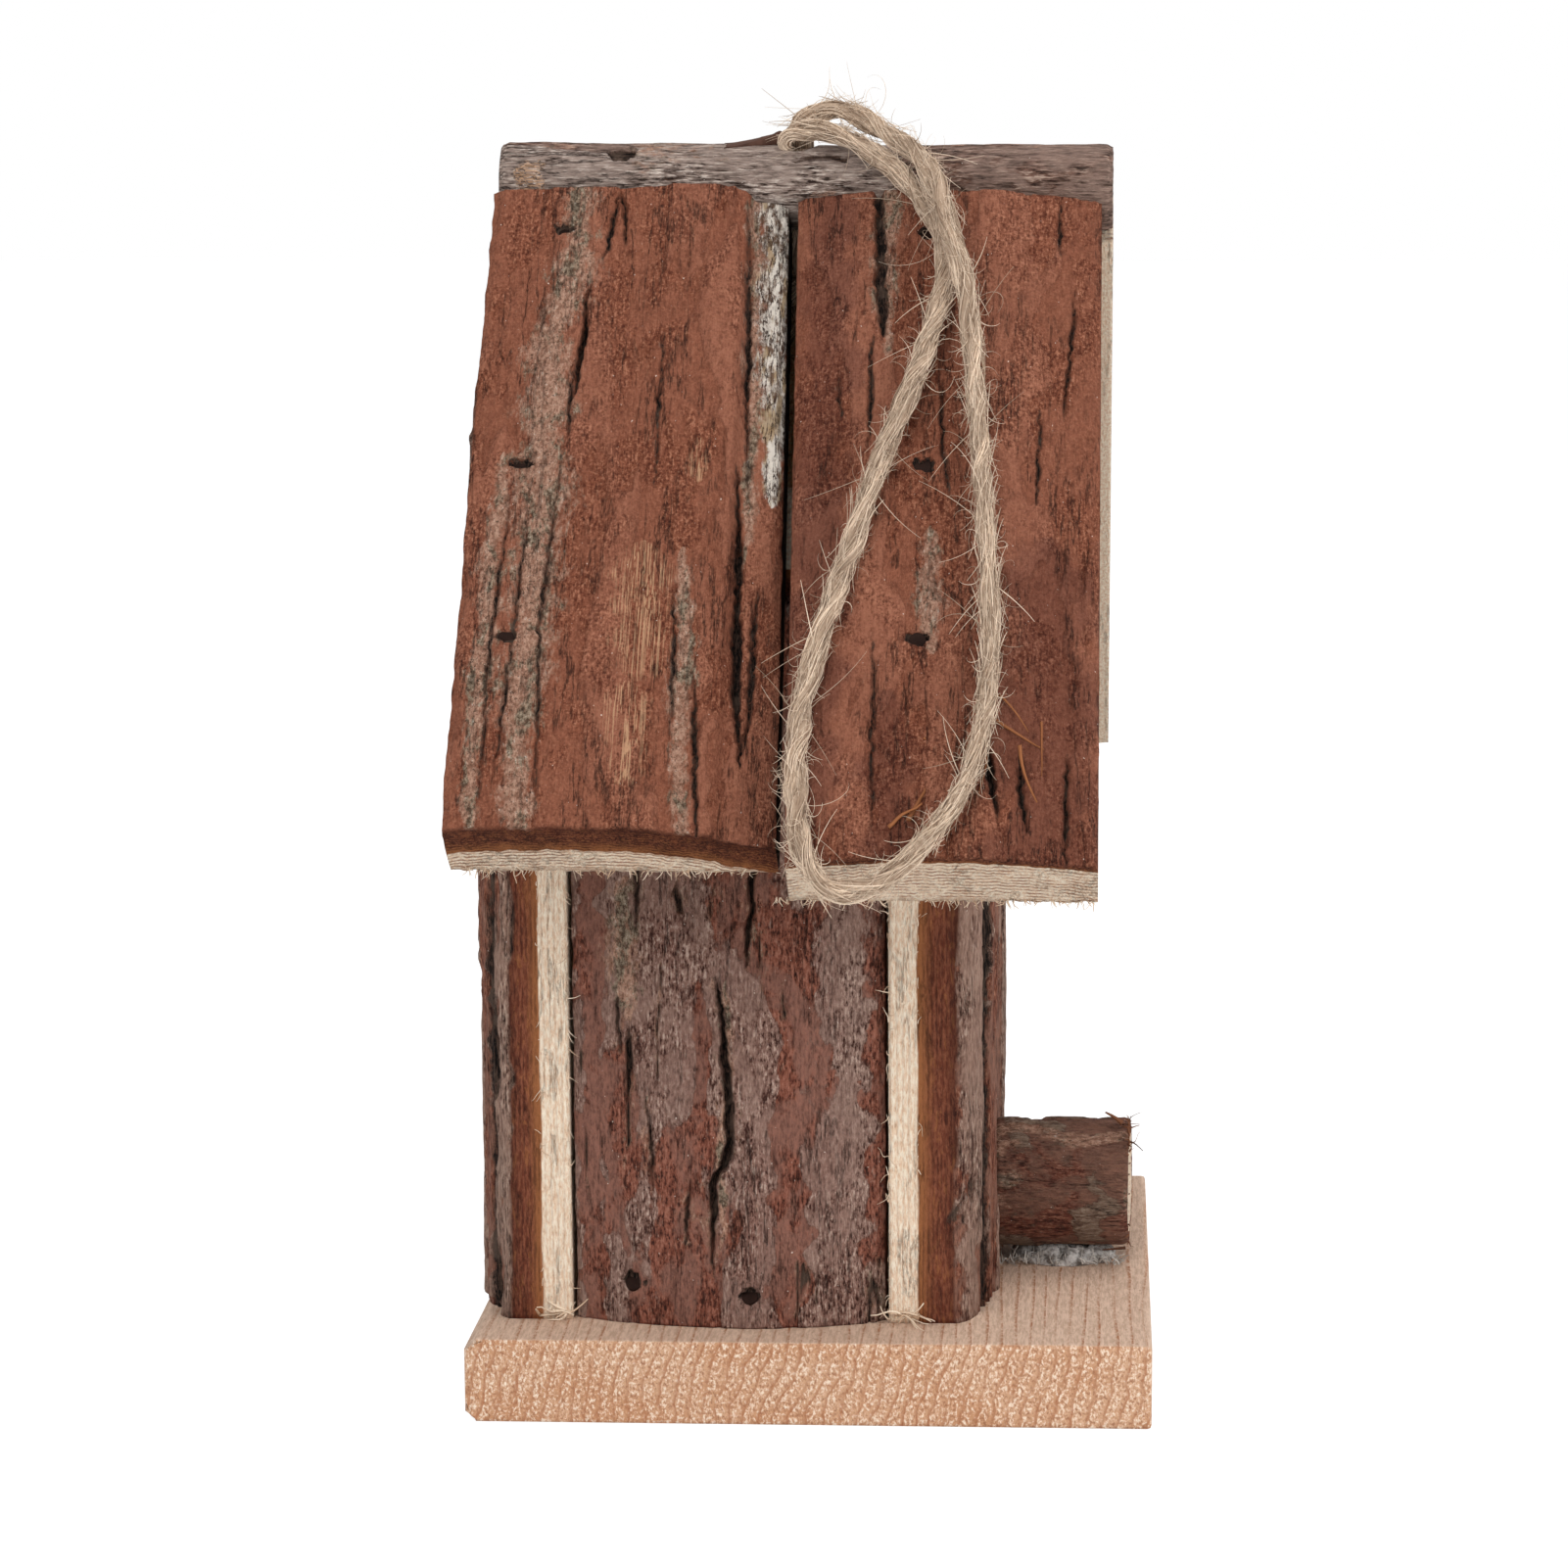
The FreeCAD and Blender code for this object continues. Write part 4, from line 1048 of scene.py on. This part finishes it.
def glue_bead():
    """A square pressed into a disc, raised to a lumpy top that falls off steeply at its rim."""
    (a, b, c), quads = block_skin(60, 8, 52)
    u, v = 2 * a - 1, 2 * c - 1
    disc_u = u * np.sqrt(1 - v * v / 2)
    disc_v = v * np.sqrt(1 - u * u / 2)
    rim = np.hypot(disc_u, disc_v)
    middle = (glue_low + glue_high) / 2
    half = (glue_high - glue_low) / 2
    lump = fractal(disc_u * 6, disc_v * 6, 61, 4)
    swell = 1 + 0.05 * lump
    height = (glue_high[2] - glue_low[2]) * (1 - 0.75 * rim ** 6) * (1 + 0.7 * np.minimum(lump, 0))
    points = np.stack([
        middle[0] + half[0] * disc_u * swell, middle[1] - half[1] * disc_v * swell,
        glue_low[2] + b * height], 1)
    piece = add_piece("glue_pad", points, [quads], glue_finish.material)
    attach(piece, "house")
    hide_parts("perch_glue")


glue_bead()


def loose_threads(random):
    """Threads of glue as lines and thicknesses, rising from both sides of the bead."""
    count = 150
    x = random.uniform(perch_low[0] + 1, perch_end - 1, count)
    side = np.where(random.random(count) < 0.65, -1, 1)
    roots = np.stack([x, side * random.uniform(4.2, 6.6, count), np.full(count, glue_low[2] + 0.3)], 1)
    ways = np.stack([random.normal(0, 1, count), side * 0.6, random.uniform(0.3, 2.5, count)], 1)
    lines = hair_lines(roots, ways, random.uniform(0.8, 2.2, count), 0.5, 13)
    return lines, random.uniform(0.05, 0.17, count)


glue_threads = shred_finish("glue_threads", (150, 142, 134), (222, 216, 208))
add_hairs("glue_fuzz", *loose_threads(np.random.default_rng(12)), glue_threads, "glue_bead", 14)

# Hanging cord
# Two-ply jute twine with both ends down the hole in the pole, its loop laid on the left roof.
# It is loosely twisted, so many fibres stand off it.
cord_route = (
    (-2.9, -10.2, -4.6), (-3, -11.6, -2.9),
    (-3.2, -12.7, -1.7), (-0.6, -13.7, -0.6), (3, -13.2, 0.9), (6.8, -9.9, 2.1), (10.4, -6.3, 3.1),
    (13.8, -2.2, 4.6), (16.2, 2.8, 5.7), (17.4, 7, 6.2), (18.7, 13, 6), (20.2, 17.8, 5),
    (21, 22, 3.7), (21.6, 27.7, 2.6), (22.4, 36.6, 2.3), (23.2, 46.2, 2.2), (23.8, 55.3, 2.1),
    (24.6, 64.3, 2.1), (24.9, 73.2, 2), (24.7, 82.2, 2.1), (23.6, 90.2, 2.2), (21.5, 96.6, 2.3),
    (18.9, 101.1, 2.4), (16, 105, 2.4), (13, 108.1, 2.2), (10.5, 109.8, 1.9), (7.4, 110.1, 1.5),
    (4.5, 108.8, 1.1), (2.8, 106.3, 0.8), (1.5, 102.4, 0.5), (0.8, 97.4, 0.4), (0.5, 91, 0.4),
    (0.9, 83.2, 0.5), (2.4, 75.4, 0.8), (4.4, 67.3, 1.2), (6.7, 58.7, 1.5),
    (8.8, 50, 1.7), (11.5, 41, 2), (14.4, 32.8, 2.3), (16.3, 24.6, 2.4), (17.7, 18.8, 2.4),
    (18, 13.3, 2.4), (16.7, 8.2, 2.4), (14.6, 4, 2.3), (12.4, 0.8, 2.2), (9.8, -2.3, 2.1),
    (6.9, -5.3, 1.6), (4, -7.8, 1), (0.7, -9.5, 0.6), (-2.3, -9.9, 0.4), (-5.2, -9.5, -0.2),
    (-5, -9.1, -2.6),
)
roof_down = np.array([0, -math.cos(pitch), -math.sin(pitch)])
roof_out = np.array([0, -math.sin(pitch), math.cos(pitch)])
ply_radius, ply_offset = 0.94, 0.52
ply_pitch, fibre_pitch = 19, 31
twine_step = 0.55
fuzz_count = 2900


def spline_line(controls, step):
    """Points evenly spaced along the smooth spline that a cord's control points give, in millimetres."""
    curve = bpy.data.curves.new("cord_line", "CURVE")
    curve.dimensions = "3D"
    curve.resolution_u = 16
    spline = curve.splines.new("NURBS")
    spline.points.add(len(controls) - 1)
    spline.points.foreach_set("co", np.column_stack([controls, np.ones(len(controls))]).ravel())
    spline.order_u = 3
    spline.use_endpoint_u = True
    holder = bpy.data.objects.new("cord_line", curve)
    mesh = bpy.data.meshes.new_from_object(holder)
    line = np.empty(3 * len(mesh.vertices))
    mesh.vertices.foreach_get("co", line)
    line = line.reshape(-1, 3)
    bpy.data.objects.remove(holder)
    bpy.data.curves.remove(curve)
    bpy.data.meshes.remove(mesh)
    run = np.concatenate([[0], np.cumsum(np.linalg.norm(np.diff(line, axis=0), axis=1))])
    even = np.linspace(0, run[-1], int(run[-1] / step) + 1)
    return np.stack([np.interp(even, run, line[:, axis]) for axis in range(3)], 1), even


def twine(line, even, girth, lean, seed):
    """Two plies wound round a line, each a core with fibres wound back round it, so that they run nearly
    straight. Gives the points, the faces and a tint for each point."""
    along = unit(np.gradient(line, axis=0))
    side = unit(lean - (along @ lean)[:, None] * along)
    rise = np.cross(along, side)
    wander = 1.5 * noise(even / 12, even * 0, seed)
    wound = 2 * math.pi * even / ply_pitch + wander
    fibres = 28
    each = np.arange(fibres)[:, None]
    random = np.random.default_rng(seed)
    groups, faces, tints = [], [], []
    total = 0
    for ply in range(2):
        turn = wound + math.pi * ply
        out = np.cos(turn)[:, None] * side + np.sin(turn)[:, None] * rise
        middle = line + (ply_offset * girth)[:, None] * out
        swell = ply_radius * girth * (1 + 0.10 * noise(even / 6, even * 0 + ply, seed + 1))
        core = tube_skin(middle[None], side[None], rise[None], 0.9 * swell[None], 10)
        lay = turn[None] - 2 * math.pi * even[None] / fibre_pitch + each * 2 * math.pi / fibres
        lay = lay + 0.9 * noise(even[None] / 5, each * 9.7 + 50 * ply, seed + 2)
        away = swell[None] * (0.94 + 0.26 * noise(even[None] / 3, each * 5.3 + 90 * ply, seed + 3))
        fibre_out = np.cos(lay)[..., None] * side + np.sin(lay)[..., None] * rise
        lines = middle[None] + away[..., None] * fibre_out
        thick = random.uniform(0.06, 0.15, (fibres, 1))
        thick = thick * (1 + 0.3 * noise(even[None] / 4, each * 3.1, seed + 4))
        skin = tube_skin(lines, side[None], rise[None], thick, 3)
        for points, skin_faces in (core, skin):
            faces.extend(group + total for group in skin_faces)
            groups.append(points)
            total += len(points)
        # The cores take a dark tint: painted shade where they show between the fibres.
        tints.append(np.full(len(core[0]), 0.1))
        wisp = noise(even[None] / 7, each / 2.2 + 50 * ply, seed + 5)
        tint = 0.45 + 0.45 * wisp + 0.5 * (random.random((fibres, 1)) - 0.5)
        tints.append(np.repeat(tint.ravel(), 3))
    return np.concatenate(groups), faces, np.clip(np.concatenate(tints), 0, 1)


jute = shred_finish("jute_fibre", (124, 94, 70), (250, 228, 204))
route = np.array(cord_route)
cord_controls = (
    route[:, :1] * (1, 0, 0) + (0, 0, ridge_height) + route[:, 1:2] * roof_down
    + (front_roof_top + route[:, 2:]) * roof_out)
cord_line, cord_even = spline_line(cord_controls, twine_step)
# The strand at the right of the loop is drawn out thinner.
cord_girth = 1 - 0.2 * smooth(cord_even, 45, 75) * smooth(cord_even, 150, 125)
cord_points, cord_faces, cord_tint = twine(cord_line, cord_even, cord_girth, roof_out, 71)
hanger_twine = add_piece("hanger_twine", cord_points, cord_faces, jute, {"tint": cord_tint})
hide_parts("hanger_loop")


def curl_lines(roots, ways, lengths, turns, seed, steps):
    """Lines that set out from roots along ways and turn steadily, each through its own angle in a random
    plane: an arc's sine along the way and one less its cosine aside."""
    ways = unit(ways)
    aside = unit(np.cross(ways, np.random.default_rng(seed).normal(size=ways.shape)))
    turn = turns[:, None, None]
    swept = turn * np.linspace(0, 1, steps)[None, :, None]
    reach = lengths[:, None, None] / turn
    return roots[:, None] + reach * (np.sin(swept) * ways[:, None] + (1 - np.cos(swept)) * aside[:, None])


def loose_fuzz(count, seed):
    """Hairs along the cord and their thickness: most lie close along it, and some stand off and curl."""
    random = np.random.default_rng(seed)
    at = random.integers(8, len(cord_line) - 8, count)
    along = unit((cord_line[at + 1] - cord_line[at - 1]) * random.choice((-1, 1), (count, 1)))
    out = unit(np.cross(along, random.normal(size=(count, 3))))
    out = out - 1.6 * np.minimum(out @ roof_out, 0)[:, None] * roof_out
    far = random.random(count) < 0.04
    near = random.random(count) < 0.58
    long = np.where(near, random.uniform(2.5, 6, count), random.uniform(1.4, 4.6, count))
    long = np.where(far, random.uniform(5, 10, count), long)
    lie = np.where(near, random.uniform(6, 14, count), random.uniform(1.2, 4, count))
    ways = out + np.where(far, 1, lie)[:, None] * along
    turns = np.where(near, 0.35, random.uniform(0.6, 3.4, count))
    lines = curl_lines(cord_line[at] + 1.2 * out, ways, long, turns, seed + 1, 10)
    return lines, np.where(near, 0.07, 0.056) * random.uniform(0.6, 1.3, count)


hanger_fuzz = add_hairs("hanger_fuzz", *loose_fuzz(fuzz_count, 72), jute, "jute_twine", 74)
hanger_fuzz.parent = None
for strand in (hanger_twine, hanger_fuzz):
    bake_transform(strand)
cord_length = float(cord_even[-1]) * MM
tuple(cord_line[0] * MM)

# Cord's knot
# Under the ridge the cord's two ends are tied together in a knot too big for the hole, and cut short.
tail_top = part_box("hanger_tail")[1][2] / MM
knot_height, hole_foot, knot_top = 150.2, 162, 156.5
knot_middle = np.array([cord_hole_x, 0, knot_height])


def tied_end(offset, splay):
    """One end's line: down the hole, round a three-lobed knot curve, and out to a short splayed tail."""
    t = np.linspace(0.5, 2 * math.pi - 0.5, 15)
    lobes = np.stack([
        np.sin(t) + 2 * np.sin(2 * t), np.cos(t) - 2 * np.cos(2 * t), 2.2 - 0.7 * t - np.sin(3 * t)], 1)
    drop = np.array([(offset, 0, tail_top - 0.3), (offset, 0, hole_foot), (offset * 0.8, 0, knot_top)])
    drop = drop + (cord_hole_x, 0, 0)
    end = knot_middle + np.array([(splay * 0.3, 0.4, -3), (splay, 0.6, -6.5), (splay * 1.6, 0.6, -9.5)])
    return np.concatenate([drop, knot_middle + lobes * (0.95, 0.95, 0.9) + (offset * 0.4, 0, 0), end])


knot_lean = np.array([0.6, 0.8, 0.1])
knot_parts = [twine(*spline_line(tied_end(offset, splay), twine_step), np.ones(1), knot_lean, seed)
              for offset, splay, seed in ((-1.05, -2, 81), (1.05, 2, 82))]
first_points, first_faces, first_tint = knot_parts[0]
other_points, other_faces, other_tint = knot_parts[1]
knot_faces = first_faces + [group + len(first_points) for group in other_faces]
cord_knot = add_piece(
    "cord_knot", np.concatenate([first_points, other_points]), knot_faces, jute,
    {"tint": np.concatenate([first_tint, other_tint])})
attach(cord_knot, "house")
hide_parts("hanger_tail")

# Brads
# Small dull steel nails, sunk a little under the bark so that only dark pits show.
brad_finish = Finish("dull_steel", 0.45)
brad_finish.shader.inputs["Metallic"].default_value = 0.6
brad_stain = brad_finish.grain(brad_finish.place(), (900, 900, 900), 4)
brad_colour = brad_finish.mix(brad_stain, (20, 13, 11), (52, 34, 28))
brad_finish.finish(brad_colour, brad_stain, 0.05 * MM)
for node in ("roof_brads", "toe_brads", "base_brads", "ridge_brads"):
    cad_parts[node].data.materials.clear()
    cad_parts[node].data.materials.append(brad_finish.material)

# Floor, light and camera
# A pale studio sweep under large soft lights, seen level with the ridge from a little in front.
camera_place = (38.3, -578, 177.1)
camera_tilt = 9.469
camera_turn = 2.173
camera_shift = -0.1
camera_lens = 94.44
floor_half = 4
floor_glow, glow_share = 1.4, 0.6
sky_light = 0.42

floor_mesh = bpy.data.meshes.new("studio_floor")
floor_corners = [(x * floor_half, y * floor_half, 0) for x, y in ((-1, -1), (1, -1), (1, 1), (-1, 1))]
floor_mesh.from_pydata(floor_corners, [], [(0, 1, 2, 3)])
floor = bpy.data.objects.new("studio_floor", floor_mesh)
bpy.context.scene.collection.objects.link(floor)


def straight_rays(nodes):
    """1 for rays that come to the camera directly or by a mirror or glass, and 0 for other light."""
    camera, mirrored, through = (
        nodes.node("ShaderNodeLightPath", {}, "Is %s Ray" % kind)
        for kind in ("Camera", "Glossy", "Transmission"))
    return nodes.math("MAXIMUM", camera, nodes.math("MAXIMUM", mirrored, through))


paper = Finish("white_paper", 0.9)
paper.shader.inputs["Base Color"].default_value = (0.9, 0.9, 0.9, 1)
matt = Shade(paper, paper.shader.outputs[0])
glow = paper.node("ShaderNodeEmission", {"Color": (1, 1, 1, 1), "Strength": floor_glow})
blend = paper.node("ShaderNodeMixShader", {0: straight_rays(paper) * glow_share, 1: matt, 2: glow})
paper.tree.links.new(blend.socket, paper.tree.nodes["Material Output"].inputs["Surface"])
floor_mesh.materials.append(paper.material)

world = bpy.data.worlds.new("studio")
bpy.context.scene.world = world
world.use_nodes = True
sky = Nodes(world.node_tree)
backdrop = sky.tree.nodes["Background"].inputs
backdrop["Color"].default_value = (1, 1, 1, 1)
level = sky.node("ShaderNodeMapRange", {"Value": straight_rays(sky), "To Min": sky_light, "To Max": 1})
sky.tree.links.new(level.socket, backdrop["Strength"])


def soft_light(name, place, target, size, watts):
    """A square area lamp at a place, turned to face a target, in metres."""
    data = bpy.data.lights.new(name, "AREA")
    data.size = size
    data.energy = watts
    lamp = bpy.data.objects.new(name, data)
    bpy.context.scene.collection.objects.link(lamp)
    aim = np.array(target) - np.array(place)
    lamp.location = place
    tilt = math.atan2(math.hypot(aim[0], aim[1]), -aim[2])
    lamp.rotation_euler = (tilt, 0, math.atan2(aim[1], aim[0]) - math.pi / 2)


soft_light("key_light", (-0.35, -0.9, 0.75), (0, 0, 0.09), 0.6, 6.4)
soft_light("fill_light", (0.95, -0.5, 0.5), (0, 0, 0.09), 0.7, 5.6)
soft_light("top_light", (0.1, 0.3, 0.9), (0, 0, 0.1), 0.6, 3)

camera_data = bpy.data.cameras.new("camera")
camera_data.lens = camera_lens
camera_data.sensor_width = 36
camera_data.shift_x = camera_shift
camera_data.clip_start = 0.01
camera = bpy.data.objects.new("camera", camera_data)
bpy.context.scene.collection.objects.link(camera)
camera.location = np.array(camera_place) * MM
camera.rotation_euler = (math.radians(90 - camera_tilt), 0, math.radians(camera_turn))
bpy.context.scene.camera = camera
bpy.context.scene.view_settings.view_transform = "Standard"
